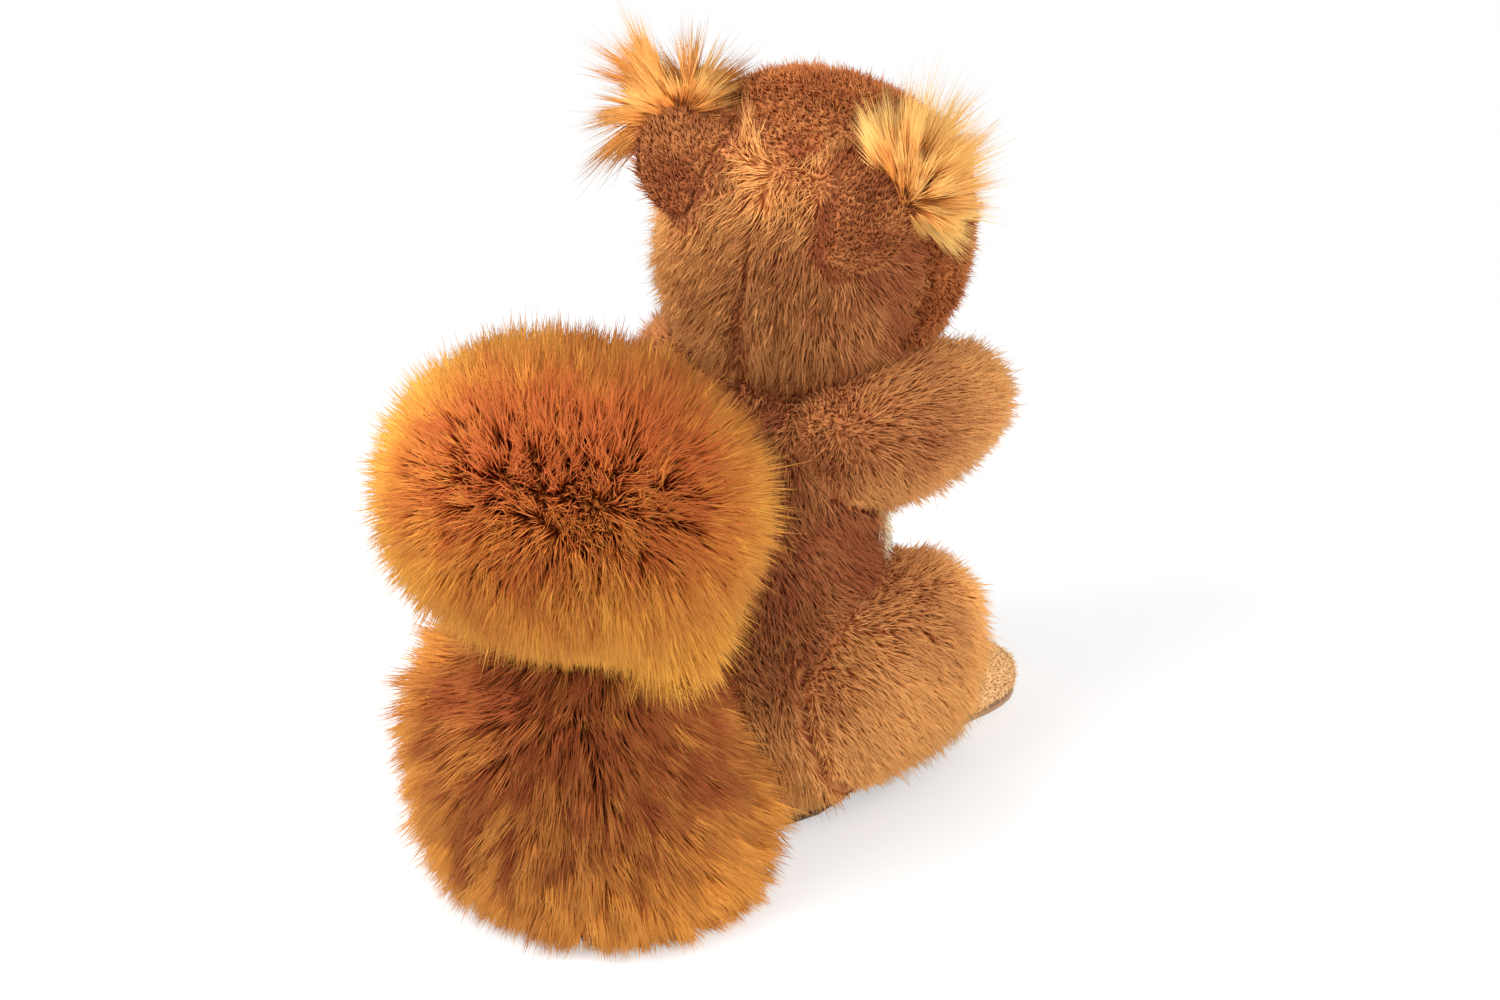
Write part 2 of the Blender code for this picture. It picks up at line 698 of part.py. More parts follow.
def washer_solid(name, place, turn, material, gap=0.0):
    """The washer on the shank. With a gap it is the pocket in the head, which is a plain disc."""
    bore = SHANK_RADIUS + GAP
    low, high = -WASHER_DEPTH - gap, -WASHER_DEPTH + WASHER_THICKNESS + gap
    radius = WASHER_RADIUS + gap
    if gap:
        profile = [(0.0, low), (radius, low), (radius, high), (0.0, high)]
        return turned_solid(name, profile, SMALL_SIDES, place, turn)
    bm = bmesh.new()
    section = ((bore, low), (radius, low), (radius, high), (bore, high))
    rings = []
    for j in range(SMALL_SIDES):
        angle = 2 * math.pi * j / SMALL_SIDES
        way = Vector((math.cos(angle), math.sin(angle), 0.0))
        rings.append([bm.verts.new(place + turn @ (way * r + Vector((0.0, 0.0, h)))) for r, h in section])
    for here, there in zip(rings, rings[1:] + rings[:1]):
        join_rings(bm, here, there)
    return make_object(name, bm, material)


def build_cap(name, place, outward, radius, rise, stretch, cap_material, washer_material):
    """A plastic cap with its washer. It returns the cutters that make room for them in the head."""
    turn = outward.to_track_quat("Z", "Y")
    turned_solid(name, cap_profile(radius, rise), SMALL_SIDES, place, turn, cap_material, stretch)
    washer_solid(f"{name}_washer", place, turn, washer_material)
    room = turned_solid(
        f"{name}_room", cap_profile(radius, rise, GAP), SMALL_SIDES, place, turn, None, stretch
    )
    pocket = washer_solid(f"{name}_pocket", place, turn, None, GAP)
    return [make_cutter(room), make_cutter(pocket)]


def grown_copy(obj, name, out):
    """A cutter from obj's untrimmed mesh, moved out along its normals."""
    bm = bmesh.new()
    bm.from_mesh(obj.data)
    bm.normal_update()
    for vert, normal in [(v, v.normal.copy()) for v in bm.verts]:
        vert.co += normal * out
    return make_cutter(make_object(name, bm))


def build_plate(name, outline, middle, margin, bottom, top, material):
    """A flat panel with this outline, drawn in by a margin."""
    rings = []
    for height in (bottom, top):
        ring = []
        for point in outline:
            inward = Vector((middle.x - point.x, middle.y - point.y, 0.0)).normalized()
            ring.append(Vector((point.x, point.y, height)) + inward * margin)
        rings.append(ring)
    return ring_solid(name, rings, material)


def build_foot(side_name, side, material, cutters):
    """A foot that comes out from under the thigh, on its own sole panel."""
    outline = foot_outline(side)
    middle = sum(outline, Vector()) / len(outline)
    sole = build_plate(f"sole_{side_name}", outline, middle, SOLE_MARGIN, 0.0, SOLE_THICKNESS, material)
    rings = []
    bottom = SOLE_THICKNESS + GAP
    for share, height in ((0.95, 0.0), (1.0, 0.22), (0.97, 0.52), (0.84, 0.78), (0.58, 0.94), (0.30, 0.99)):
        rings.append([middle + (point - middle) * share + Vector((0.0, 0.0, bottom)) for point in outline])
        for point in rings[-1]:
            toe = (middle.y - point.y) / (FOOT_LENGTH / 2)
            point.z += height * FOOT_HEIGHT * (1.0 - 0.22 * max(toe, 0.0))
    crown = middle + Vector((0.0, 0.0, bottom + FOOT_HEIGHT))
    foot = ring_solid(f"foot_{side_name}", rings, material, None, crown)
    trim(foot, *cutters)
    trim(sole, *cutters)
    return foot


def build():
    clear_scene()
    back_plush = make_material("back_plush", GOLDEN_BROWN, 0.9)
    short_plush = make_material("short_plush", DARK_BROWN, 0.95)
    tail_plush = make_material("tail_plush", COPPER, 0.85)
    tuft_plush = make_material("tuft_plush", GINGER, 0.8)
    belly_plush = make_material("belly_plush", CREAM, 0.9)
    foot_velour = make_material("foot_velour", TAN, 0.95)
    base_cloth = make_material("base_cloth", UMBER, 0.95)
    black_plastic = make_material("black_plastic", BLACK, 0.12)
    clear_plastic = make_material("clear_plastic", CLEAR_WHITE, 0.4)

    torso_bottom = BASE_PANEL_THICKNESS + GAP
    torso_shape = torso_form(torso_bottom)
    head_shape = head_form()
    floor = floor_cutter()

    torso_cutter = make_cutter(torso_form(-BELOW_FLOOR).solid("torso_cutter", BODY_SIDES, None, GAP))
    head_cutter = make_cutter(head_shape.solid("head_cutter", BODY_SIDES, None, GAP))
    face_outer = FACE_PANEL_THICKNESS + GAP
    face_cutter = make_cutter(
        head_shape.cup("face_cutter", None, FACE_PANEL_START - 0.1, -SINK, face_outer + GAP, BODY_SIDES)
    )

    torso = torso_shape.solid("torso", BODY_SIDES, back_plush)
    trim(torso, head_cutter, face_cutter)

    head = head_shape.solid("head", BODY_SIDES, back_plush)
    face = head_shape.cup("face_panel", short_plush, FACE_PANEL_START, -SINK, face_outer, BODY_SIDES)
    trim(face, head_cutter)

    for side_name, side in LEFT_AND_RIGHT:
        angle = math.radians(EYE_ANGLE if side > 0 else 180.0 - EYE_ANGLE)
        place = head_shape.point(EYE_STATION, angle, face_outer)
        outward = head_shape.normal(EYE_STATION, angle)
        rooms = build_cap(
            f"eye_{side_name}", place, outward, EYE_RADIUS, EYE_RISE, (1.0, 1.0), black_plastic, clear_plastic
        )
        trim(head, *rooms)
        trim(face, *rooms)
    tip = head_shape.poles[1] + Vector((0.0, -face_outer, 0.0))
    forward = Vector((0.0, -1.0, 0.25)).normalized()
    nose_stretch = (1.0, NOSE_HALF_HEIGHT / NOSE_HALF_WIDTH)
    rooms = build_cap(
        "nose", tip, forward, NOSE_HALF_WIDTH, NOSE_RISE, nose_stretch, black_plastic, clear_plastic
    )
    trim(head, *rooms)
    trim(face, *rooms)

    limb_cutters = []
    for side_name, side in LEFT_AND_RIGHT:
        thigh = thigh_form(side)
        trim(thigh.solid(f"thigh_{side_name}", THIGH_SIDES, back_plush), torso_cutter, floor)
        thigh_cutter = make_cutter(thigh.solid(f"thigh_{side_name}_cutter", THIGH_SIDES, None, GAP))
        arm = arm_form(side)
        trim(arm.solid(f"arm_{side_name}", LIMB_SIDES, back_plush), torso_cutter, head_cutter, face_cutter)
        arm_cutter = make_cutter(arm.solid(f"arm_{side_name}_cutter", LIMB_SIDES, None, GAP))
        foot = build_foot(side_name, side, foot_velour, (torso_cutter, thigh_cutter))
        foot_cutter = grown_copy(foot, f"foot_{side_name}_cutter", GAP)
        limb_cutters += [thigh_cutter, arm_cutter, foot_cutter]
        cutters = (head_cutter, face_cutter)
        ear = build_ear(side_name, side, short_plush, cutters)
        ear_cutter = grown_copy(ear, f"ear_{side_name}_cutter", GAP)
        build_ear_tuft(side_name, side, tuft_plush, (ear_cutter, *cutters))

    belly = torso_shape.patch(
        "belly_panel",
        belly_plush,
        BELLY_PANEL_START,
        BELLY_PANEL_END,
        math.radians(BELLY_PANEL_HALF_ANGLE),
        -math.pi / 2,
        -SINK,
        GAP + BELLY_PANEL_THICKNESS,
        BODY_SIDES // 3,
    )
    trim(belly, torso_cutter, head_cutter, face_cutter, *limb_cutters)

    outline = torso_shape.rings(BODY_SIDES)[0]
    middle = sum(outline, Vector()) / len(outline)
    build_plate("base_panel", outline, middle, BASE_PANEL_MARGIN, 0.0, BASE_PANEL_THICKNESS, base_cloth)
    build_tail(tail_plush, torso_cutter, floor)


build()
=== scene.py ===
import json
import math

import bpy
import numpy as np
from bpy.props import FloatProperty, FloatVectorProperty, IntProperty, PointerProperty
from bpy.types import Operator, Panel, PropertyGroup
from mathutils import Matrix, Quaternion, Vector
from mathutils.bvhtree import BVHTree
from mathutils.kdtree import KDTree

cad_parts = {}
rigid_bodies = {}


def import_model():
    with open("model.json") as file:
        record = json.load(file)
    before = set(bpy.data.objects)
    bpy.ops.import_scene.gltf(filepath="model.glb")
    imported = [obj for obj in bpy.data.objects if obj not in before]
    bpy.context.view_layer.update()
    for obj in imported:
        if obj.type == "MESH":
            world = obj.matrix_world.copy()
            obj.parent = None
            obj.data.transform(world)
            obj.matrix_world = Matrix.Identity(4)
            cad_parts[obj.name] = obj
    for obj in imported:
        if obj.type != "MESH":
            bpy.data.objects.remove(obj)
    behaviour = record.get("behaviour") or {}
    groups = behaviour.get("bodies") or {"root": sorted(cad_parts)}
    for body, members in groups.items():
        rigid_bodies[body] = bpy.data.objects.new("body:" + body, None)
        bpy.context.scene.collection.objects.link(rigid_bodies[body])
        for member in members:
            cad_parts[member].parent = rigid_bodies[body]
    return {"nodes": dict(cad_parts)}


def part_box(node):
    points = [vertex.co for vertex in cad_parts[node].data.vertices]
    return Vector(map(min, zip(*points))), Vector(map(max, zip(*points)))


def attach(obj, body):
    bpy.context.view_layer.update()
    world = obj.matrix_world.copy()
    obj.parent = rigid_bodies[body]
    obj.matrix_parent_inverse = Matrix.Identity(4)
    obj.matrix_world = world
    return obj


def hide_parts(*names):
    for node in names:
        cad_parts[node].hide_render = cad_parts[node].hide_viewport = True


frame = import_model()
bpy.ops.object.select_all(action="DESELECT")
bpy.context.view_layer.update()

bl_info = {
    "name": "Plush squirrel dressing",
    "version": (1, 0, 0),
    "blender": (4, 5, 0),
    "location": "3D View > Sidebar > Squirrel",
    "description": "Pile, velour, cloth, plastic, stage, lights and camera for the plush squirrel",
    "category": "Object",
}

# The UV map of every strand: across it the strand's tone, and along it the way from root to tip
STRAND_MAP = "OFBake"
LEFT_AND_RIGHT = (("left", 1.0), ("right", -1.0))
UP = np.array((0.0, 0.0, 1.0))

# How near another piece a surface counts as sewn to it, and how far from it the pile is whole again
SEAM_NEAR = 0.0009
SEAM_FAR = 0.0060

# How squarely the nearest face must look away from a point that counts as inside, so that rims don't
FACING = 0.85

# Height of the dark hem that shows under the body's pile: base cloth, and partly painted shadow where the
# body meets the floor
HEM_HEIGHT = 0.0048

# How far from the toy's middle its shadow on the floor starts to fade, and where it ends
SHADOW_NEAR = 0.12
SHADOW_FAR = 0.30

# How far strands stay above the floor
FLOOR_CLEAR = 0.0003

# A cover this low that looks down this much rests on the floor, and is drawn in no further than this
RESTING_HEIGHT = 0.0020
RESTING_SLOPE = -0.5
RESTING_DEPTH = 0.0008

# A cover this low that looks down this much is pressed to the floor and shows no pile
BARE_HEIGHT = 0.0025
BARE_SLOPE = -0.6

# How deep the middle of a strand may lie in another piece before the strand is cropped, or left out
CROPPED_DEPTH = 0.0012
HIDDEN_DEPTH = 0.0030

# Size of the core that a tuft's locks come out of, as a share of the tuft, and its share of short strands
TUFT_CORE = 0.45
TUFT_FLUFF = 0.25

# How far from a tuft's root its locks have their full tone, and how near to it they are darkest
TUFT_MIDDLE = (0.012, 0.004)

# Which way each tuft's locks are brushed, in the head's own axes
TUFT_BRUSH = {"left": (0.36, 0.0, -0.58), "right": (0.0, 0.05, 0.25)}

# How much lighter each tuft is than its coat: painted shade darkens the left tuft and painted light
# lightens the right one
TUFT_LIGHT_AND_SHADE = {"left": -0.20, "right": 0.20}

# Share of a tuft's points, nearest to the ear, whose middle is its root
TUFT_ROOTED = 0.25

# Length that each lock of a tuft has besides its share of the tuft
TUFT_LEAST = 0.005

# Smallest and largest share of a coat's tone that a strand may have, so that it stays on the map
TONE_RANGE = (0.02, 0.97)

# How wide a strand is on its map, so that no face has an empty place there
MAP_WIDTH = 0.01

# Smallest and largest share of a coat's pile and thickness that one strand may have, and how far the
# strands' thicknesses differ
PILE_LIMITS = (0.5, 1.5)
THICKNESS_LIMITS = (0.6, 1.5)
THICKNESS_SPREAD = 0.2

# How much of a strand's lean it has from its root on, and how late the strands of a lock come together
ROOT_LEAN = 0.35
GATHER_POWER = 1.3


def length(name, default, description):
    return FloatProperty(
        name=name, description=description, default=default, min=0.0, precision=5, unit="LENGTH"
    )


def share(name, default, description):
    return FloatProperty(
        name=name, description=description, default=default, min=0.0, soft_max=1.0, subtype="FACTOR"
    )


def tint(name, default, description):
    return FloatVectorProperty(
        name=name, description=description, default=default, size=3, min=0.0, max=1.0, subtype="COLOR"
    )


def angle(name, degrees, description):
    return FloatProperty(
        name=name, description=description, default=math.radians(degrees), subtype="ANGLE"
    )


def coat_group(class_name, description, pile, depth, thickness, density, lock, gather, shared, lean,
               droop, scatter, uneven, tip_start, shadow_root, shadow_tip, bright_root, bright_tip):
    """A PropertyGroup class for one pile fabric, with these values as its defaults."""
    fields = {
        "pile": length("Pile", pile, "Length of a strand from its backing to its tip"),
        "depth": length("Depth", depth, "How far the backing lies under the ends of the pile"),
        "thickness": length("Thickness", thickness, "Thickness of a strand where it is widest"),
        "density": IntProperty(
            name="Density", description="Strands to a square centimetre", default=density, min=1
        ),
        "lock": IntProperty(
            name="Lock", description="Strands that gather into one lock", default=lock, min=1
        ),
        "gather": share("Gather", gather, "How far the tips of a lock come together"),
        "shared": share("Shared", shared, "How far the strands of a lock have one tone"),
        "lean": share("Lean", lean, "How far strands lie over along the nap"),
        "droop": share("Droop", droop, "How far strands hang under their own weight"),
        "scatter": share("Scatter", scatter, "How far single strands stray from the nap"),
        "uneven": share("Uneven", uneven, "How far the strands' lengths differ"),
        "tip_start": share(
            "Tip start", tip_start, "How far up a strand its tip's colour starts"
        ),
        # The shadow colours are the coat as it looks in shade, and the bright ones as it looks in the
        # light; a strand's tone between them is its own uneven colour together with painted light and shade
        "shadow_root": tint("Shadow root", shadow_root, "Roots of the dark strands"),
        "shadow_tip": tint("Shadow tip", shadow_tip, "Tips of the dark strands"),
        "bright_root": tint("Bright root", bright_root, "Roots of the golden strands"),
        "bright_tip": tint("Bright tip", bright_tip, "Tips of the golden strands"),
    }
    return type(class_name, (PropertyGroup,), {"__doc__": description, "__annotations__": fields})


BackPile = coat_group(
    "BackPile", "The brown pile of the torso, arms, thighs and back of the head",
    pile=0.0050, depth=0.0024, thickness=0.00040, density=285, lock=7, gather=0.22, shared=0.50,
    lean=0.90, droop=0.02, scatter=0.26, uneven=0.16, tip_start=0.45,
    shadow_root=(0.24, 0.062, 0.024), shadow_tip=(0.40, 0.110, 0.040),
    bright_root=(0.82, 0.300, 0.085), bright_tip=(1.00, 0.50, 0.155),
)
EarPile = coat_group(
    "EarPile", "The short brown pile of the ears",
    pile=0.0027, depth=0.0008, thickness=0.00036, density=300, lock=7, gather=0.20, shared=0.60,
    lean=0.70, droop=0.0, scatter=0.30, uneven=0.20, tip_start=0.45,
    shadow_root=(0.20, 0.052, 0.018), shadow_tip=(0.30, 0.082, 0.028),
    bright_root=(0.60, 0.200, 0.056), bright_tip=(0.86, 0.38, 0.115),
)
ShortPile = coat_group(
    "ShortPile", "The short reddish pile of the face and the forehead",
    pile=0.0025, depth=0.0008, thickness=0.00034, density=300, lock=7, gather=0.15, shared=0.60,
    lean=0.60, droop=0.0, scatter=0.36, uneven=0.20, tip_start=0.45,
    shadow_root=(0.20, 0.047, 0.015), shadow_tip=(0.32, 0.082, 0.025),
    bright_root=(0.46, 0.140, 0.038), bright_tip=(0.72, 0.27, 0.078),
)
CurlPile = coat_group(
    "CurlPile", "The long pile of the curled end of the tail",
    pile=0.0105, depth=0.0060, thickness=0.00056, density=372, lock=11, gather=0.30, shared=0.60,
    lean=0.72, droop=0.04, scatter=0.18, uneven=0.16, tip_start=0.55,
    shadow_root=(0.34, 0.068, 0.015), shadow_tip=(0.48, 0.108, 0.024),
    bright_root=(0.90, 0.27, 0.036), bright_tip=(1.00, 0.48, 0.072),
)
MassPile = coat_group(
    "MassPile", "The long pile of the lower part of the tail",
    pile=0.0115, depth=0.0062, thickness=0.00054, density=380, lock=22, gather=0.54, shared=0.80,
    lean=0.80, droop=0.05, scatter=0.20, uneven=0.17, tip_start=0.70,
    shadow_root=(0.15, 0.027, 0.007), shadow_tip=(0.36, 0.082, 0.022),
    bright_root=(0.64, 0.185, 0.030), bright_tip=(1.00, 0.435, 0.080),
)
TuftPile = coat_group(
    "TuftPile", "The long golden locks along the edges of the ears",
    pile=0.0150, depth=0.0020, thickness=0.00034, density=2000, lock=34, gather=0.60, shared=0.50,
    lean=0.45, droop=0.0, scatter=0.15, uneven=0.24, tip_start=0.70,
    shadow_root=(0.36, 0.085, 0.016), shadow_tip=(0.72, 0.25, 0.042),
    bright_root=(0.74, 0.26, 0.050), bright_tip=(1.00, 0.63, 0.200),
)
BellyPile = coat_group(
    "BellyPile", "The cream pile of the belly",
    pile=0.0050, depth=0.0, thickness=0.00050, density=165, lock=6, gather=0.22, shared=0.40,
    lean=0.85, droop=0.02, scatter=0.24, uneven=0.15, tip_start=0.60,
    shadow_root=(0.66, 0.46, 0.26), shadow_tip=(0.88, 0.68, 0.43),
    bright_root=(0.82, 0.63, 0.40), bright_tip=(1.00, 0.87, 0.65),
)
FootVelour = coat_group(
    "FootVelour", "The cropped nap of the feet",
    pile=0.0012, depth=0.0004, thickness=0.00034, density=230, lock=3, gather=0.20, shared=0.30,
    lean=0.55, droop=0.0, scatter=0.30, uneven=0.20, tip_start=0.60,
    shadow_root=(0.52, 0.27, 0.110), shadow_tip=(0.78, 0.45, 0.20),
    bright_root=(0.68, 0.40, 0.180), bright_tip=(1.00, 0.66, 0.33),
)


class HeadSettings(PropertyGroup):
    """How the head is turned, and where its pile parts."""

    turn: angle("Turn", 8.0, "How far the head looks to its left")
    lean: angle("Lean", 8.0, "How far the head leans to its right")
    crown_back: length("Crown back", 0.0240, "How far behind the head's middle the pile parts")
    crown_rise: length("Crown rise", 0.0250, "How far above the head's middle the pile parts")
    crown_width: length("Crown width", 0.0300, "Length of the line along which the pile parts")
    seam_width: length("Seam width", 0.0020, "Width of the groove along the seam at the nape")


class CurlSettings(PropertyGroup):
    """Where the pile of the tail's curled end parts."""

    azimuth: angle("Azimuth", 215.0, "Side of the curl on which the pile parts, as a view's azimuth")
    elevation: angle("Elevation", 32.0, "Height on the curl at which the pile parts")
    ridge: length("Ridge", 0.0440, "Length of the ridge along which the pile parts")
    # The pile is darker near the ridge: the roots that show there, and partly painted shade in the opened
    # pile
    dark_reach: length("Dark reach", 0.0300, "How far from the ridge the dark roots show")


class PlasticSettings(PropertyGroup):
    """The black eyes and nose, and the clear washers behind them."""

    black: tint("Black", (0.010, 0.0075, 0.006), "Colour of the eyes and the nose")
    clear: tint("Clear", (0.75, 0.75, 0.72), "Colour of the washers")
    gloss: share("Gloss", 0.09, "Roughness of the eyes")


class ClothSettings(PropertyGroup):
    """The flat cloth under the body and the feet."""

    base: tint("Base", (0.060, 0.030, 0.018), "Colour of the base panel")
    sole: tint("Sole", (0.36, 0.20, 0.095), "Colour of the soles")


class StageSettings(PropertyGroup):
    """The floor, the light and the camera."""

    azimuth: angle("Azimuth", 215.0, "Side that the camera looks from")
    elevation: angle("Elevation", 26.0, "Height that the camera looks down from")
    distance: length("Distance", 0.85, "Distance of the camera from the picture's plane")
    lens: FloatProperty(name="Lens", description="Focal length in millimetres", default=85.0)
    sky: FloatProperty(name="Sky", description="Strength of the even light from all round", default=0.78)
    key: FloatProperty(name="Key", description="Power of the large lamp in watts", default=17.0)
    fill: FloatProperty(name="Fill", description="Power of the second lamp in watts", default=10.0)
    paper: share("Paper", 0.45, "How far the floor shows plain white, and not its own shading")


class SquirrelSettings(PropertyGroup):
    """Everything that can be set on the squirrel."""

    back: PointerProperty(type=BackPile)
    short: PointerProperty(type=ShortPile)
    ear: PointerProperty(type=EarPile)
    curl: PointerProperty(type=CurlPile)
    mass: PointerProperty(type=MassPile)
    tuft: PointerProperty(type=TuftPile)
    belly: PointerProperty(type=BellyPile)
    velour: PointerProperty(type=FootVelour)
    head: PointerProperty(type=HeadSettings)
    parting: PointerProperty(type=CurlSettings)
    plastic: PointerProperty(type=PlasticSettings)
    cloth: PointerProperty(type=ClothSettings)
    stage: PointerProperty(type=StageSettings)
    seed: IntProperty(name="Seed", description="Start of the random numbers", default=7, min=0)


def settings():
    return bpy.context.scene.plush_squirrel


def generator(number):
    """The random numbers of one piece, the same on each run."""
    return np.random.default_rng((settings().seed, number))


def smoothstep(low, high, value):
    t = np.clip((value - low) / (high - low), 0.0, 1.0)
    return t * t * (3.0 - 2.0 * t)


def unit(vectors):
    """The vectors at length 1, and none shorter than that."""
    return vectors / np.maximum(np.linalg.norm(vectors, axis=1, keepdims=True), 1e-9)


def capped(vectors):
    """The vectors, with none longer than 1."""
    return vectors / np.maximum(np.linalg.norm(vectors, axis=1, keepdims=True), 1.0)


def mottle(points, size, rng):
    """A soft random pattern in space, from about -1 to 1, with patches of about this size."""
    waves = 6
    total = np.zeros(len(points))
    for _ in range(waves):
        way = rng.normal(size=3)
        way *= rng.uniform(0.6, 1.5) * math.pi / size / np.linalg.norm(way)
        total += np.sin(points @ way + rng.uniform(0.0, 2.0 * math.pi))
    return total / math.sqrt(waves)


def swirl(points, size, number):
    """A soft random direction in space, with patches of about this size."""
    rng = generator(number)
    return np.stack([mottle(points, size, rng) for _ in range(3)], axis=1)


def view_axes(azimuth, elevation):
    """Right, up and back for a view from this side: azimuth 0 looks along +Y."""
    back = Vector(
        (
            math.sin(azimuth) * math.cos(elevation),
            -math.cos(azimuth) * math.cos(elevation),
            math.sin(elevation),
        )
    )
    right = Vector((math.cos(azimuth), math.sin(azimuth), 0.0))
    return right, back.cross(right), back


# Materials


def new_material(name):
    material = bpy.data.materials.new(name)
    material.use_nodes = True
    return material, material.node_tree.nodes, material.node_tree.links


def new_group(name, inputs, outputs):
    """A shader node group with these sockets, and its input and output nodes."""
    group = bpy.data.node_groups.new(name, "ShaderNodeTree")
    for socket, kind, default in inputs:
        made = group.interface.new_socket(socket, in_out="INPUT", socket_type=kind)
        made.default_value = default
    for socket, kind in outputs:
        group.interface.new_socket(socket, in_out="OUTPUT", socket_type=kind)
    return group, group.nodes.new("NodeGroupInput"), group.nodes.new("NodeGroupOutput")


def feed(tree, socket, source):
    """Links a socket to its source, or sets it where the source is a plain value."""
    if isinstance(source, bpy.types.NodeSocket):
        tree.links.new(source, socket)
    else:
        socket.default_value = source


def mix_colours(tree, factor, first, second):
    """A colour mix node fed by these sockets. It returns its result."""
    node = tree.nodes.new("ShaderNodeMix")
    node.data_type = "RGBA"
    feed(tree, node.inputs["Factor"], factor)
    feed(tree, node.inputs[6], first)
    feed(tree, node.inputs[7], second)
    return node.outputs[2]


def math_node(tree, operation, first, second):
    """A math node fed by these sockets. It returns its result."""
    node = tree.nodes.new("ShaderNodeMath")
    node.operation = operation
    feed(tree, node.inputs[0], first)
    feed(tree, node.inputs[1], second)
    return node.outputs["Value"]


def map_range(tree, value, start, end, low=0.0, high=1.0, kind="LINEAR"):
    """A node that takes the range from start to end to the one from low to high. It returns its result."""
    node = tree.nodes.new("ShaderNodeMapRange")
    node.interpolation_type = kind
    sources = {"Value": value, "From Min": start, "From Max": end, "To Min": low, "To Max": high}
    for socket, source in sources.items():
        feed(tree, node.inputs[socket], source)
    return node.outputs["Result"]


def strand_tint_group():
    """Colour along a strand: dark roots to light tips, between the coat's colours in shade and in light,
    whose mix paints light and shade as well as the strands' own tone.
    """
    name = "strand_tint"
    if name in bpy.data.node_groups:
        return bpy.data.node_groups[name]
    colour, black = "NodeSocketColor", (0.0, 0.0, 0.0, 1.0)
    inputs = [(s, colour, black) for s in ("Shadow Root", "Shadow Tip", "Bright Root", "Bright Tip")]
    inputs.append(("Tip Start", "NodeSocketFloat", 0.8))
    group, entry, leave = new_group(name, inputs, [("Color", colour)])
    place = group.nodes.new("ShaderNodeUVMap")
    place.uv_map = STRAND_MAP
    parts = group.nodes.new("ShaderNodeSeparateXYZ")
    group.links.new(place.outputs["UV"], parts.inputs[0])
    along = map_range(group, parts.outputs["Y"], 0.0, entry.outputs["Tip Start"], kind="SMOOTHSTEP")
    shadow = mix_colours(group, along, entry.outputs["Shadow Root"], entry.outputs["Shadow Tip"])
    bright = mix_colours(group, along, entry.outputs["Bright Root"], entry.outputs["Bright Tip"])
    group.links.new(mix_colours(group, parts.outputs["X"], shadow, bright), leave.inputs["Color"])
    return group


def backing_group():
    """Uneven colour and height of the backing under a pile, seen only between the strands."""
    name = "pile_backing"
    if name in bpy.data.node_groups:
        return bpy.data.node_groups[name]
    colour = "NodeSocketColor"
    inputs = [
        ("Dark", colour, (0.0, 0.0, 0.0, 1.0)),
        ("Light", colour, (1.0, 1.0, 1.0, 1.0)),
        ("Patch", "NodeSocketFloat", 120.0),
        ("Grain", "NodeSocketFloat", 1800.0),
    ]
    group, entry, leave = new_group(name, inputs, [("Color", colour), ("Height", "NodeSocketFloat")])
    place = group.nodes.new("ShaderNodeTexCoord")
    patch = group.nodes.new("ShaderNodeTexNoise")
    grain = group.nodes.new("ShaderNodeTexNoise")
    for node, scale in ((patch, "Patch"), (grain, "Grain")):
        group.links.new(place.outputs["Object"], node.inputs["Vector"])
        group.links.new(entry.outputs[scale], node.inputs["Scale"])
    share_of_light = map_range(group, patch.outputs["Fac"], 0.35, 0.65)
    blended = mix_colours(group, share_of_light, entry.outputs["Dark"], entry.outputs["Light"])
    group.links.new(blended, leave.inputs["Color"])
    group.links.new(grain.outputs["Fac"], leave.inputs["Height"])
    return group


def weave_group():
    """A plain weave on Object coordinates: a colour mask and a height."""
    name = "plain_weave"
    if name in bpy.data.node_groups:
        return bpy.data.node_groups[name]
    inputs = [("Threads", "NodeSocketFloat", 1500.0)]
    outputs = [("Mask", "NodeSocketFloat"), ("Height", "NodeSocketFloat")]
    group, entry, leave = new_group(name, inputs, outputs)
    place = group.nodes.new("ShaderNodeTexCoord")
    bands = []
    for way in ("X", "Y"):
        wave = group.nodes.new("ShaderNodeTexWave")
        wave.bands_direction = way
        wave.inputs["Distortion"].default_value = 0.6
        wave.inputs["Detail Scale"].default_value = 2.0
        group.links.new(place.outputs["Object"], wave.inputs["Vector"])
        group.links.new(entry.outputs["Threads"], wave.inputs["Scale"])
        bands.append(wave.outputs["Fac"])
    higher = math_node(group, "MAXIMUM", *bands)
    noise = group.nodes.new("ShaderNodeTexNoise")
    noise.inputs["Scale"].default_value = 700.0
    group.links.new(place.outputs["Object"], noise.inputs["Vector"])
    group.links.new(noise.outputs["Fac"], leave.inputs["Mask"])
    group.links.new(higher, leave.inputs["Height"])
    return group


def place_group(material, group):
    node = material.node_tree.nodes.new("ShaderNodeGroup")
    node.node_tree = group
    return node


def add_bump(material, height, distance, strength):
    bump = material.node_tree.nodes.new("ShaderNodeBump")
    bump.inputs["Distance"].default_value = distance
    bump.inputs["Strength"].default_value = strength
    links = material.node_tree.links
    links.new(height, bump.inputs["Height"])
    links.new(bump.outputs["Normal"], material.node_tree.nodes["Principled BSDF"].inputs["Normal"])


def strand_material(name, coat):
    """Fibres of one coat, coloured by the strand map."""
    material, nodes, links = new_material(f"{name}_fibre")
    group = place_group(material, strand_tint_group())
    for socket, colour in (
        ("Shadow Root", coat.shadow_root),
        ("Shadow Tip", coat.shadow_tip),
        ("Bright Root", coat.bright_root),
        ("Bright Tip", coat.bright_tip),
    ):
        group.inputs[socket].default_value = (*colour, 1.0)
    group.inputs["Tip Start"].default_value = coat.tip_start
    shader = nodes["Principled BSDF"]
    links.new(group.outputs["Color"], shader.inputs["Base Color"])
    shader.inputs["Roughness"].default_value = 0.6
    shader.inputs["Specular IOR Level"].default_value = 0.12
    return material


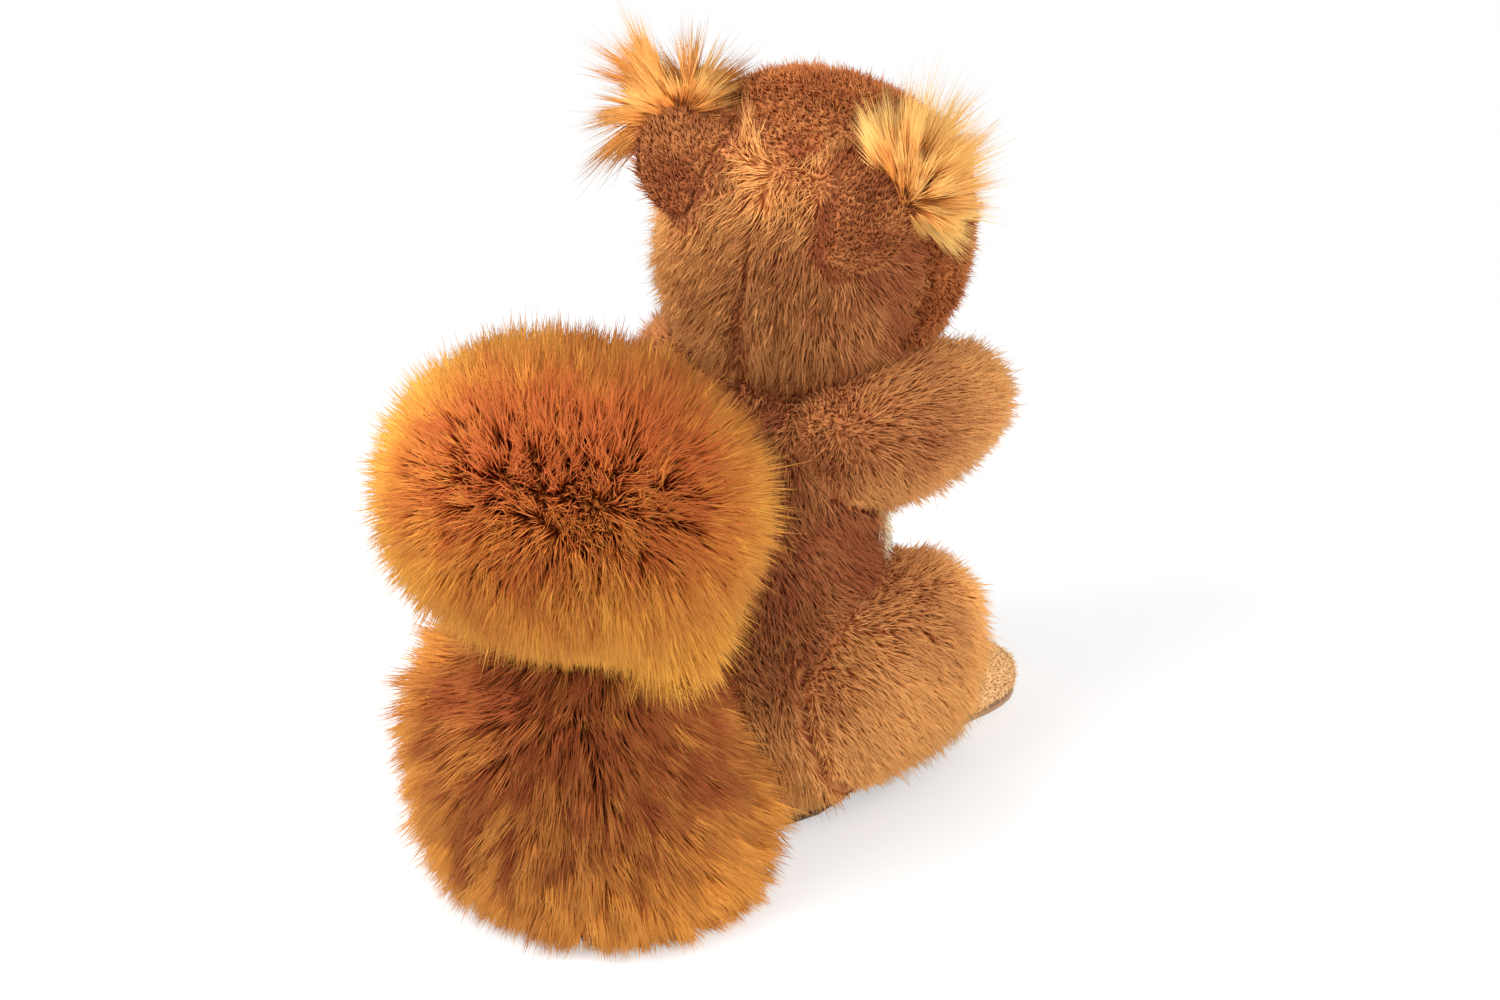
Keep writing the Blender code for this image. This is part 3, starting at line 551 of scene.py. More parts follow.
def backing_material(name, coat, hem_and_shadow=None):
    """The backing of one coat, near its darker tips. A hem is the colour of its bottom edge: base cloth,
    and partly painted shadow where the body meets the floor.
    """
    material, nodes, links = new_material(f"{name}_backing")
    group = place_group(material, backing_group())
    dark = Vector(coat.shadow_tip)
    light = Vector(coat.shadow_tip).lerp(Vector(coat.bright_tip), 0.40)
    group.inputs["Dark"].default_value = (*dark, 1.0)
    group.inputs["Light"].default_value = (*light, 1.0)
    shader = nodes["Principled BSDF"]
    colour = group.outputs["Color"]
    # The dark band along the bottom edge is base cloth, and partly painted shadow where the body meets the
    # floor
    if hem_and_shadow:
        place = nodes.new("ShaderNodeTexCoord")
        parts = nodes.new("ShaderNodeSeparateXYZ")
        links.new(place.outputs["Object"], parts.inputs[0])
        above = map_range(material.node_tree, parts.outputs["Z"], HEM_HEIGHT, HEM_HEIGHT * 1.2)
        colour = mix_colours(material.node_tree, above, (*hem_and_shadow, 1.0), colour)
    links.new(colour, shader.inputs["Base Color"])
    shader.inputs["Roughness"].default_value = 0.95
    shader.inputs["Specular IOR Level"].default_value = 0.10
    add_bump(material, group.outputs["Height"], 0.0006, 0.8)
    return material


def cloth_material(name, colour, threads=1500.0):
    """Woven cloth with uneven dye."""
    material, nodes, links = new_material(name)
    group = place_group(material, weave_group())
    group.inputs["Threads"].default_value = threads
    dark = [0.72 * part for part in colour] + [1.0]
    light = [min(1.0, 1.35 * part) for part in colour] + [1.0]
    shader = nodes["Principled BSDF"]
    dyed = mix_colours(material.node_tree, group.outputs["Mask"], dark, light)
    links.new(dyed, shader.inputs["Base Color"])
    shader.inputs["Roughness"].default_value = 0.9
    shader.inputs["Sheen Weight"].default_value = 0.3
    shader.inputs["Sheen Roughness"].default_value = 0.5
    add_bump(material, group.outputs["Height"], 0.0002, 0.6)
    return material


def plastic_material(name, colour, roughness, worn=0.07):
    """Moulded plastic with faint scuffs in its gloss, which make it rougher by up to worn."""
    material, nodes, links = new_material(name)
    tree = material.node_tree
    place = nodes.new("ShaderNodeTexCoord")
    scuffs = nodes.new("ShaderNodeTexNoise")
    scuffs.inputs["Scale"].default_value = 900.0
    scuffs.inputs["Detail"].default_value = 6.0
    links.new(place.outputs["Object"], scuffs.inputs["Vector"])
    scuffed = map_range(tree, scuffs.outputs["Fac"], 0.45, 0.75, roughness, roughness + worn)
    shader = nodes["Principled BSDF"]
    links.new(scuffed, shader.inputs["Roughness"])
    dark, light = (*colour, 1.0), (*[1.4 * part for part in colour], 1.0)
    links.new(mix_colours(tree, scuffs.outputs["Fac"], dark, light), shader.inputs["Base Color"])
    shader.inputs["IOR"].default_value = 1.42
    return material


# Meshes


def select_only(obj):
    bpy.ops.object.select_all(action="DESELECT")
    obj.select_set(True)
    bpy.context.view_layer.objects.active = obj


def new_object(name, mesh):
    obj = bpy.data.objects.new(name, mesh)
    bpy.context.scene.collection.objects.link(obj)
    return obj


def apply_modifier(obj, kind, **values):
    """Adds a modifier with these values and applies it."""
    select_only(obj)
    modifier = obj.modifiers.new(kind.lower(), kind)
    for name, value in values.items():
        setattr(modifier, name, value)
    bpy.ops.object.modifier_apply(modifier=modifier.name)


def node_copy(node, name):
    """A copy of a CAD node with a mesh of its own, whose loose triangles are merged."""
    obj = new_object(name, frame["nodes"][node].data.copy())
    obj.data.name = name
    obj.data.materials.clear()
    select_only(obj)
    bpy.ops.object.mode_set(mode="EDIT")
    bpy.ops.mesh.select_all(action="SELECT")
    bpy.ops.mesh.remove_doubles(threshold=0.00001)
    bpy.ops.mesh.customdata_custom_splitnormals_clear()
    bpy.ops.object.mode_set(mode="OBJECT")
    return obj


def points_of(mesh):
    points = np.empty(len(mesh.vertices) * 3, np.float32)
    mesh.vertices.foreach_get("co", points)
    return points.reshape(-1, 3).astype(float)


def normals_of(mesh):
    normals = np.empty(len(mesh.vertices) * 3, np.float32)
    mesh.vertices.foreach_get("normal", normals)
    return normals.reshape(-1, 3).astype(float)


def triangles_of(mesh):
    mesh.calc_loop_triangles()
    triangles = np.empty(len(mesh.loop_triangles) * 3, np.int32)
    mesh.loop_triangles.foreach_get("vertices", triangles)
    return triangles.reshape(-1, 3)


def set_points(mesh, points):
    mesh.vertices.foreach_set("co", points.astype(np.float32).ravel())
    mesh.update()


def tree_of_nodes(names):
    """One search tree over these CAD nodes."""
    points, triangles, first = [], [], 0
    for name in names:
        mesh = frame["nodes"][name].data
        points.append(points_of(mesh))
        triangles.append(triangles_of(mesh) + first)
        first += len(mesh.vertices)
    return BVHTree.FromPolygons(np.concatenate(points).tolist(), np.concatenate(triangles).tolist())


def distances(points, tree):
    """How far each point lies outside the nodes of the tree, less than 0 inside them."""
    found = np.empty(len(points))
    for i, point in enumerate(points):
        near, normal, _, distance = tree.find_nearest(point)
        inside = (Vector(point) - near).dot(normal) < -FACING * distance
        found[i] = -distance if inside else distance
    return found


def backing(node, name, depth, voxel, smoothing, neighbours, material):
    """The stuffed cover under a node's pile: the node's form, drawn in where no other piece is sewn on."""
    obj = node_copy(node, name)
    if voxel:
        apply_modifier(obj, "REMESH", mode="VOXEL", voxel_size=voxel)
    if smoothing:
        apply_modifier(obj, "SMOOTH", factor=0.5, iterations=smoothing)
    points, normals = points_of(obj.data), normals_of(obj.data)
    if depth:
        away = np.abs(distances(points, tree_of_nodes(neighbours)))
        if callable(depth):
            depth = depth(points)
        move = -normals * (depth * smoothstep(SEAM_NEAR, SEAM_FAR, away))[:, None]
        resting = (points[:, 2] < RESTING_HEIGHT) & (normals[:, 2] < RESTING_SLOPE)
        move[resting, 2] = np.minimum(move[resting, 2], RESTING_DEPTH)
        points = points + move
    points[:, 2] = np.maximum(points[:, 2], FLOOR_CLEAR)
    set_points(obj.data, points)
    obj.data.shade_smooth()
    obj.data.materials.append(material)
    return obj


def strand_form():
    """One upright strand of height 1: a spike with three sides, its root at height 0."""
    bpy.ops.mesh.primitive_cone_add(
        vertices=3, radius1=1.0, radius2=0.0, depth=1.0, end_fill_type="NGON", location=(0.0, 0.0, 0.5)
    )
    obj = bpy.context.active_object
    bpy.ops.object.transform_apply(location=True, rotation=False, scale=False)
    mesh = obj.data
    points, triangles = points_of(mesh), triangles_of(mesh)
    bpy.data.objects.remove(obj)
    bpy.data.meshes.remove(mesh)
    return points.round(6), triangles


def sample_roots(mesh, density, rng):
    """Points spread evenly over the mesh, so many to a square centimetre, with their normals."""
    points, normals, triangles = points_of(mesh), normals_of(mesh), triangles_of(mesh)
    corners = points[triangles]
    across = np.cross(corners[:, 1] - corners[:, 0], corners[:, 2] - corners[:, 0])
    areas = np.cumsum(np.linalg.norm(across, axis=1) / 2.0)
    count = int(areas[-1] * 1e4 * density)
    picks = (np.arange(count) + rng.random(count)) * areas[-1] / count
    chosen = np.minimum(np.searchsorted(areas, picks), len(triangles) - 1)
    a, b = np.sqrt(rng.random(count)), rng.random(count)
    weights = np.stack([1.0 - a, a * (1.0 - b), a * b], axis=1)
    roots = (corners[chosen] * weights[:, :, None]).sum(1)
    ways = unit((normals[triangles[chosen]] * weights[:, :, None]).sum(1))
    return roots, ways


def nearest_leaders(roots, lock, rng):
    """For each strand, the number of the strand that leads its lock."""
    count = len(roots)
    leaders = rng.choice(count, max(1, count // lock), replace=False)
    tree = KDTree(len(leaders))
    for i, leader in enumerate(leaders):
        tree.insert(roots[leader], i)
    tree.balance()
    return np.array([leaders[tree.find(root)[1]] for root in roots])


def plant(name, coat, form, roots, normals, lay, lengths, tones, rng, material):
    """The strands of one coat as one mesh. Lengths, tones and lay are given strand by strand."""
    shape, triangles = form
    count = len(roots)
    lengths = lengths * np.clip(1.0 + coat.uneven * rng.normal(size=count), *PILE_LIMITS)
    flat = lay - normals * (lay * normals).sum(1, keepdims=True)
    stray = rng.normal(size=(count, 3)) * coat.scatter
    leaders = nearest_leaders(roots, coat.lock, rng)
    thickness = np.clip(1.0 + THICKNESS_SPREAD * rng.normal(size=count), *THICKNESS_LIMITS)
    radius = coat.thickness / 2.0 * thickness

    def centres(height):
        """The middle of each strand at this share of its height."""
        rise = height * (1.0 - ROOT_LEAN * coat.lean * height)
        sweep = coat.lean * (ROOT_LEAN * height + (1.0 - ROOT_LEAN) * height**2)
        way = normals * rise + flat * sweep + stray * height - UP * coat.droop * height**2
        placed = roots + way * lengths[:, None]
        placed += (placed[leaders] - placed) * coat.gather * height**GATHER_POWER
        placed[:, 2] = np.maximum(placed[:, 2], FLOOR_CLEAR + radius)
        return placed

    levels = sorted(set(shape[:, 2].tolist()))
    placed = {level: centres(level) for level in levels}
    along = unit(placed[levels[-1]] - placed[levels[0]])
    side = unit(np.cross(along, rng.normal(size=(count, 3))))
    other = np.cross(along, side)
    points = np.empty((count, len(shape), 3))
    for i, (x, y, level) in enumerate(shape):
        points[:, i] = placed[level] + (side * x + other * y) * radius[:, None]
    faces = triangles[None] + (np.arange(count) * len(shape))[:, None, None]
    tones = np.clip(tones + (tones[leaders] - tones) * coat.shared, *TONE_RANGE)
    corners = triangles.ravel()
    across = tones[:, None] + MAP_WIDTH * shape[corners, 0][None]
    upward = np.broadcast_to(shape[corners, 2], across.shape)
    mesh = mesh_from(name, points.reshape(-1, 3), faces.reshape(-1, 3))
    layer = mesh.uv_layers.new(name=STRAND_MAP)
    layer.data.foreach_set("uv", np.stack([across, upward], axis=2).astype(np.float32).ravel())
    mesh.shade_smooth()
    mesh.materials.append(material)
    return new_object(name, mesh)


def mesh_from(name, points, triangles):
    mesh = bpy.data.meshes.new(name)
    mesh.vertices.add(len(points))
    mesh.vertices.foreach_set("co", points.astype(np.float32).ravel())
    mesh.loops.add(triangles.size)
    mesh.loops.foreach_set("vertex_index", triangles.astype(np.int32).ravel())
    mesh.polygons.add(len(triangles))
    mesh.polygons.foreach_set("loop_start", np.arange(0, triangles.size, 3, dtype=np.int32))
    mesh.update(calc_edges=True)
    return mesh


def finish_piece(obj):
    """The piece rides on the one body, at the origin."""
    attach(obj, "root")
    return obj


def cover_node(node, name, depth, neighbours, material, voxel=0.0025, smoothing=3):
    """The cover that stands for a node, which it hides."""
    cover = backing(node, name, depth, voxel, smoothing, neighbours, material)
    finish_piece(cover)
    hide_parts(node)
    return cover


def off_the_floor(roots, normals):
    """Where a cover isn't pressed to the floor."""
    return ~((roots[:, 2] < BARE_HEIGHT) & (normals[:, 2] < BARE_SLOPE))


def grow(cover, name, coat, seed, slot, lay_of, tone_of, neighbours, length_of=None, within=None,
         seam_share=0.62, tip_share=0.65, floor_gap=BARE_HEIGHT):
    """The pile of one coat on a cover, or on the part of it that within gives.

    Strands have seam_share of their length at a seam, tip_share of it where they would reach into
    another piece, and none lower than floor_gap.
    """
    rng = generator(seed)
    roots, normals = sample_roots(cover.data, coat.density, rng)
    if within:
        free = within(roots)
        roots, normals = roots[free], normals[free]
    tree = tree_of_nodes(neighbours)
    gap = distances(roots + normals * 0.5 * coat.depth, tree)
    tips = distances(roots + normals * (0.6 * coat.pile), tree)
    free = (gap > SEAM_NEAR / 2) & off_the_floor(roots, normals) & (roots[:, 2] > floor_gap)
    roots, normals, gap, tips = roots[free], normals[free], gap[free], tips[free]
    lengths = coat.pile * (seam_share + (1.0 - seam_share) * smoothstep(SEAM_NEAR, SEAM_FAR, gap))
    lengths = lengths * np.where(tips > -CROPPED_DEPTH, 1.0, tip_share)
    if length_of:
        lengths = lengths * length_of(roots)
    pile = plant(name, coat, strand_form(), roots, normals, capped(lay_of(roots, normals)), lengths,
                 tone_of(roots, normals, rng), rng, strand_material(name, coat))
    return finish_piece(pile)


def fur(node, name, coat, seed, slot, lay_of, tone_of, neighbours, fill=0.75, voxel=0.0025,
        smoothing=3, hem_and_shadow=None, **pile_settings):
    """The cover and the pile of one node, as two pieces."""
    material = backing_material(name, coat, hem_and_shadow)
    cover = cover_node(node, name, coat.depth, neighbours, material, voxel, smoothing)
    grow(cover, f"{name}_pile", coat, seed, slot, lay_of, tone_of, neighbours, **pile_settings)


# The nap and the tone of each piece


# Heights of the waist and how far its painted shadow reaches, and where painted light lightens the torso
# low down and painted shade darkens it at the neck
WAIST_HEIGHT = 0.060
WAIST_REACH = 0.016
TORSO_LIT_LOW = (0.045, 0.012)
TORSO_NECK_SHADE = (0.082, 0.094)

# How wide the strip is along which the back's pile runs to both sides
SPINE_WIDTH = 0.012

# How far the seam at the nape parts the pile to its sides, and from where to where on the head's back
SEAM_REACH = 0.007
HEAD_BACK = (0.0, 0.020)

# In the head's own axes: where painted light makes it lighter to its left, where its crown and its shaded
# patch lie, where the seam at the nape ends, and where the cheeks start
HEAD_LIT_SIDE = (-0.026, 0.028)
CROWN_RISE = (0.010, 0.022)
CROWN_SIDE = (0.018, 0.009)
SHADE_SIDE = (0.005, 0.012)
SHADE_RISE = (0.011, 0.020)
NAPE_TOP = (0.002, -0.006)
CHEEK_DROP = (-0.004, -0.020)
CHEEK_FRONT = (-0.010, -0.030)

# The short pile of the face: how far back it reaches between the ears and beside them, how fast its
# edge moves forward from the middle, how soft that edge is, and how low it goes
FOREHEAD_BACK = 0.0235
FOREHEAD_SIDE = 0.0120
FOREHEAD_CURVE = 60.0
FOREHEAD_SOFTNESS = 0.0025
FOREHEAD_LOW = (-0.022, -0.014)

# How far from an ear the head's pile is whole, and how near to it the crease is deepest, with its shortest
# pile and its darkest painted shade
EAR_CREASE = (0.0028, 0.0006)

# How far above the hem the body's pile is whole
HEM_FADE = 0.006

# Where the front of the thigh catches the light
THIGH_LIT_FRONT = -0.020

# The curled end of the tail, from the tail's box: how far its middle lies to the left of the box's, in
# from its rear and below its top, its half sizes, and how high over its middle the pile parts
CURL_ASIDE = 0.0020
CURL_INSET = 0.0435
CURL_DROP = 0.0360
CURL_HALF_SIZES = (0.0415, 0.0415, 0.0340)
CURL_PARTING = 0.033

# The curl's pile: how far from the parting it lies flat, where it is ruffled, how wide its dark core is,
# with the roots that show there and partly painted shade, where painted light makes its left and its rim
# lighter, and where it looks up enough for painted shade to make it darker
CURL_SPREAD = 0.030
CURL_RUFFLED = (0.026, 0.006)
CURL_CORE = 0.006
CURL_LIT_LEFT = (-0.006, 0.030)
CURL_LIT_RIM = (0.008, 0.025)
CURL_SHADED_TOP = (0.35, 0.95)

# How far below the curl's middle painted light makes it lighter, and its pile short, which its right side
# doesn't
CURL_LIT_LOW = (0.010, 0.030)
CURL_UNDER = (0.008, 0.024)
CURL_NOT_RIGHT = (0.020, 0.004)

# The lower mass of the tail: how far its middle lies before the box's, its height, its half sizes, and
# where its pile springs from
MASS_FORWARD = 0.0020
MASS_MIDDLE = 0.0340
MASS_HALF_SIZES = (0.0420, 0.0420, 0.0380)
MASS_CROWN = (-0.006, 0.004, 0.036)

# The shoulder between the two: how far to the right and how high the mass gives way to the curl
SHOULDER_SIDE = (0.012, 0.034)
SHOULDER_RISE = (0.034, 0.048)

# Where the tail's pile grows longer from the floor up, and where painted light makes the mass lighter low
# down, across and below the curl, whose painted shadow keeps its top dark, as heights and as shares of its
# half width
TAIL_FOOT = (0.0, 0.020)
MASS_LIT_LOW = (0.044, 0.004)
MASS_LIT_LEFT = (0.15, 0.60)
MASS_LIT_RIGHT = (-0.5, -0.9)
MASS_SHADOWED_TOP = (0.072, 0.050)


def blotches(points, rng, *patches, speckle=0.08):
    """Uneven tone: soft patches, each with its strength and its size, and a speckle of single strands."""
    tone = sum(strength * mottle(points, size, rng) for strength, size in patches)
    return tone + speckle * rng.normal(size=len(points))


def middle_of(node):
    low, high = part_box(node)
    return (low + high) / 2.0


def head_axes():
    """The head's middle and its turn, from the head's box: its back is as deep as it is wide."""
    low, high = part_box("head")
    centre = Vector(((low.x + high.x) / 2, high.y - (high.x - low.x) / 2, (low.z + high.z) / 2))
    head = settings().head
    turn = Quaternion((0.0, 0.0, 1.0), head.turn) @ Quaternion((0.0, 1.0, 0.0), -head.lean)
    return np.array(centre), np.array(turn.to_matrix())


def in_head(points):
    """Points in the head's own axes: x to its left, y to its back and z up."""
    centre, turn = head_axes()
    return (points - centre) @ turn


def head_lay(points, normals):
    """The pile runs down from the crown, away from the seam down the back of the head."""
    head = settings().head
    own = in_head(points)
    crown = np.tile((0.0, head.crown_back, head.crown_rise), (len(points), 1))
    crown[:, 0] = np.clip(own[:, 0], -head.crown_width / 2, head.crown_width / 2)
    way = unit(own - crown)
    seam = np.sign(own[:, 0]) * np.exp(-np.abs(own[:, 0]) / SEAM_REACH)
    way[:, 0] += 0.45 * seam * smoothstep(*HEAD_BACK, own[:, 1])
    return way @ head_axes()[1].T + 0.30 * swirl(points, 0.006, 41)


def head_tone(points, normals, rng):
    own = in_head(points)
    # Painted light makes the head lighter to its left
    side = smoothstep(*HEAD_LIT_SIDE, own[:, 0])
    crown = smoothstep(*CROWN_RISE, own[:, 2]) * smoothstep(*CROWN_SIDE, np.abs(own[:, 0]))
    shade = smoothstep(*SHADE_SIDE, own[:, 0]) * smoothstep(*SHADE_RISE, own[:, 2])
    tone = 0.16 + 0.60 * side + 0.36 * crown - 0.50 * shade
    # Painted shade in the groove of the seam at the nape and in the crease round the ears
    tone -= 0.30 * seam_mask(own) + 0.60 * near_ears(points)
    return tone + blotches(points, rng, (0.10, 0.010), (0.09, 0.003))


def seam_mask(own):
    """Where the groove of the seam at the nape lies."""
    near = np.exp(-((own[:, 0] / settings().head.seam_width) ** 2))
    return near * (own[:, 1] > 0.0) * smoothstep(*NAPE_TOP, own[:, 2])


def forehead_mask(own):
    """The short pile of the face reaches back over the cheeks, and between the ears up to the crown."""
    edge = np.maximum(FOREHEAD_BACK - FOREHEAD_CURVE * own[:, 0] ** 2, FOREHEAD_SIDE)
    before = smoothstep(0.0, -FOREHEAD_SOFTNESS, own[:, 1] - edge)
    return before * smoothstep(*FOREHEAD_LOW, own[:, 2])


def near_ears(points):
    """1 at the root of an ear, and 0 a few millimetres away from it."""
    return smoothstep(*EAR_CREASE, distances(points, tree_of_nodes(("ear_left", "ear_right"))))


def head_length(points):
    return (1.0 - 0.5 * seam_mask(in_head(points))) * (1.0 - 0.35 * near_ears(points))


def on_forehead(points):
    """Where the back of the head has the short pile of the face."""
    return forehead_mask(in_head(points)) > 0.5


def behind_forehead(points):
    return ~on_forehead(points)


def head_depth(points):
    """The cover rises to the face's level where the short pile starts."""
    made = settings()
    return made.back.depth + (made.short.depth - made.back.depth) * forehead_mask(in_head(points))


def body_length(points):
    """The pile is cropped where the body's plush is sewn to the base panel."""
    return 0.28 + 0.72 * smoothstep(HEM_HEIGHT, HEM_HEIGHT + HEM_FADE, points[:, 2])


def body_blotches(points, rng):
    return blotches(points, rng, (0.09, 0.009), (0.07, 0.003))


def torso_lay(points, normals):
    way = np.tile((0.0, -0.18, -1.0), (len(points), 1))
    way[:, 0] = 0.30 * np.tanh(points[:, 0] / SPINE_WIDTH)
    return way + 0.30 * swirl(points, 0.008, 42)


def torso_tone(points, normals, rng):
    height = points[:, 2]
    # Painted shadow at the waist, painted light low down and painted shade at the neck, over the uneven
    # tone
    waist = np.exp(-((height - WAIST_HEIGHT) / WAIST_REACH) ** 2)
    low, neck = smoothstep(*TORSO_LIT_LOW, height), smoothstep(*TORSO_NECK_SHADE, height)
    return 0.31 - 0.28 * waist + 0.48 * low - 0.24 * neck + body_blotches(points, rng)


def arm_lay(points, normals):
    return np.array((0.0, -1.0, -0.45)) + 0.30 * swirl(points, 0.008, 43)


def arm_tone(points, normals, rng):
    low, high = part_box("arm_left")
    forward = smoothstep(high.y, low.y, points[:, 1])
    # Painted light makes the arm lighter where it looks down
    under = smoothstep(0.2, -0.8, normals[:, 2])
    return 0.24 + 0.52 * forward + 0.30 * under + body_blotches(points, rng)


def thigh_lay(points, normals):
    way = np.tile((0.0, -0.45, -1.0), (len(points), 1))
    way[:, 0] = 0.20 * np.sign(points[:, 0])
    return way + 0.30 * swirl(points, 0.008, 44)


def thigh_tone(points, normals, rng):
    low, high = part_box("thigh_left")
    # Painted light makes the thigh lighter low down and at its front
    down = smoothstep(high.z, low.z + 0.3 * (high.z - low.z), points[:, 2])
    front = smoothstep(THIGH_LIT_FRONT, low.y, points[:, 1])
    return 0.34 + 0.56 * down + 1.10 * front + body_blotches(points, rng)


def belly_lay(points, normals):
    return np.tile((0.0, -0.1, -1.0), (len(points), 1))


def belly_tone(points, normals, rng):
    return 0.65 + blotches(points, rng, (0.15, 0.008), speckle=0.15)


def face_lay(points, normals):
    """The short pile runs back from the nose."""
    return unit(points - np.array(middle_of("nose")))


def face_tone(points, normals, rng):
    own = in_head(points)
    cheek = smoothstep(*CHEEK_DROP, own[:, 2]) * smoothstep(*CHEEK_FRONT, own[:, 1])
    return 0.36 + 0.35 * cheek + blotches(points, rng, (0.16, 0.005), speckle=0.12)


def curl_middle():
    """The middle of the tail's curled end and of its lower mass, from the tail's box."""
    low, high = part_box("tail")
    middle = (low + high) / 2.0
    curl = Vector((middle.x + CURL_ASIDE, high.y - CURL_INSET, high.z - CURL_DROP))
    mass = Vector((middle.x, middle.y - MASS_FORWARD, MASS_MIDDLE))
    return np.array(curl), np.array(mass)


def on_curl(points):
    """1 on the curled end of the tail, 0 on its lower mass."""
    curl, mass = curl_middle()
    to_curl = np.linalg.norm((points - curl) / CURL_HALF_SIZES, axis=1)
    to_mass = np.linalg.norm((points - mass) / MASS_HALF_SIZES, axis=1)
    right = np.array(view_axes(settings().parting.azimuth, 0.0)[0])
    shoulder = smoothstep(*SHOULDER_SIDE, (points - mass) @ right)
    return to_curl < to_mass + 0.9 * shoulder * smoothstep(*SHOULDER_RISE, points[:, 2])


def ridge_offset(points):
    """From the nearest place on the curl's parting to each point."""
    parting = settings().parting
    right, _, back = (np.array(v) for v in view_axes(parting.azimuth, parting.elevation))
    curl = curl_middle()[0]
    top = curl + back * CURL_PARTING
    span = np.clip((points - top) @ right, -parting.ridge / 2, parting.ridge / 2)
    return points - (top + span[:, None] * right)


def curl_lay(points, normals):
    """The pile stands up along the parting and lies over more and more away from it."""
    offset = ridge_offset(points)
    near = smoothstep(*CURL_RUFFLED, np.linalg.norm(offset, axis=1))
    way = offset / CURL_SPREAD
    return way + 0.35 * near[:, None] * swirl(points, 0.003, 45) + 0.12 * swirl(points, 0.006, 46)


def curl_tone(points, normals, rng):
    parting = settings().parting
    away = np.linalg.norm(ridge_offset(points), axis=1)
    # Painted shade in the dark core by the parting, with the roots that show there; painted light below the
    # middle and on the left rim; painted shade where the curl looks up
    low = smoothstep(*CURL_LIT_LOW, curl_middle()[0][2] - points[:, 2])
    tone = 0.15 + 0.36 * smoothstep(CURL_CORE, parting.dark_reach, away) + 0.32 * low
    tone += 0.50 * smoothstep(*CURL_LIT_LEFT, points[:, 0]) * smoothstep(*CURL_LIT_RIM, away)
    tone -= 0.25 * smoothstep(*CURL_SHADED_TOP, normals[:, 2])
    return tone + blotches(points, rng, (0.12, 0.010), (0.14, 0.0028))


def tail_length(points):
    """The pile is short at the floor and along the curl's underside, but not on the curl's right."""
    curl = curl_middle()[0]
    right = np.array(view_axes(settings().parting.azimuth, 0.0)[0])
    under = smoothstep(*CURL_UNDER, curl[2] - points[:, 2]) * on_curl(points)
    trimmed = 1.0 - 0.45 * under * smoothstep(*CURL_NOT_RIGHT, (points - curl) @ right)
    return trimmed * (0.75 + 0.25 * smoothstep(*TAIL_FOOT, points[:, 2]))


def mass_lay(points, normals):
    crown = curl_middle()[1] + np.array(MASS_CROWN)
    return unit(points - crown) + 0.22 * swirl(points, 0.006, 47)


def mass_tone(points, normals, rng):
    height = points[:, 2]
    low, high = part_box("tail")
    across = (points[:, 0] - (low.x + high.x) / 2) / (high.x - low.x) * 2.0
    # Painted light makes the mass lighter low down and at its left and right rims; its top under the curl
    # stays dark as painted shadow
    tone = 0.02 + 0.84 * smoothstep(*MASS_LIT_LOW, height) + 0.14 * smoothstep(*MASS_LIT_RIGHT, across)
    tone += 0.80 * smoothstep(*MASS_LIT_LEFT, across) * smoothstep(*MASS_SHADOWED_TOP, height)
    return tone + blotches(points, rng, (0.18, 0.010), (0.28, 0.003))


# Pieces


BODY_NEIGHBOURS = {
    "torso": ("head", "face_panel", "arm_left", "arm_right", "thigh_left", "thigh_right",
              "belly_panel", "base_panel"),
    "arm_left": ("torso", "head", "face_panel", "belly_panel"),
    "arm_right": ("torso", "head", "face_panel", "belly_panel"),
    "thigh_left": ("torso", "belly_panel", "foot_left", "base_panel"),
    "thigh_right": ("torso", "belly_panel", "foot_right", "base_panel"),
    "head": ("face_panel", "torso", "arm_left", "arm_right", "ear_left", "ear_right", "belly_panel"),
    "face_panel": ("head", "torso", "arm_left", "arm_right", "ear_left", "ear_right", "belly_panel",
                   "eye_left", "eye_right", "nose"),
    "belly_panel": ("torso", "head", "face_panel", "arm_left", "arm_right", "thigh_left",
                    "thigh_right", "foot_left", "foot_right"),
    "tail": ("torso", "base_panel", "thigh_left", "thigh_right"),
}


def build_body():
    made = settings()
    # The hem along the bottom is base cloth colour, and partly painted shadow along the floor
    body = {"hem_and_shadow": made.cloth.base, "tip_share": 1.0, "floor_gap": HEM_HEIGHT,
            "length_of": body_length}
    fur("torso", "torso_plush", made.back, 1, "back_plush", torso_lay, torso_tone,
        BODY_NEIGHBOURS["torso"], seam_share=1.0, **body)
    for number, (side, _) in enumerate(LEFT_AND_RIGHT):
        arm, thigh = f"arm_{side}", f"thigh_{side}"
        fur(arm, f"{arm}_plush", made.back, 2 + number, "back_plush", arm_lay, arm_tone,
            BODY_NEIGHBOURS[arm])
        fur(thigh, f"{thigh}_plush", made.back, 4 + number, "back_plush", thigh_lay, thigh_tone,
            BODY_NEIGHBOURS[thigh], seam_share=0.40, **body)


def build_head():
    """The back of the head, with the long pile behind the crown and the short pile before it."""
    made = settings()
    neighbours = BODY_NEIGHBOURS["head"]
    cover = cover_node("head", "head_plush", head_depth, neighbours,
                       backing_material("head_plush", made.back))
    grow(cover, "head_plush_pile", made.back, 6, "back_plush", head_lay, head_tone, neighbours,
         length_of=head_length, within=behind_forehead)
    grow(cover, "head_front_pile", made.short, 9, "short_plush", face_lay, face_tone, neighbours,
         within=on_forehead, seam_share=1.5)


def build_face():
    fur("face_panel", "face_plush", settings().short, 7, "short_plush", face_lay, face_tone,
        BODY_NEIGHBOURS["face_panel"], voxel=0.0, smoothing=0, fill=0.5, seam_share=0.9)


def build_belly():
    fur("belly_panel", "belly_plush", settings().belly, 8, "belly_plush", belly_lay, belly_tone,
        BODY_NEIGHBOURS["belly_panel"], voxel=0.0, smoothing=0, fill=0.6)


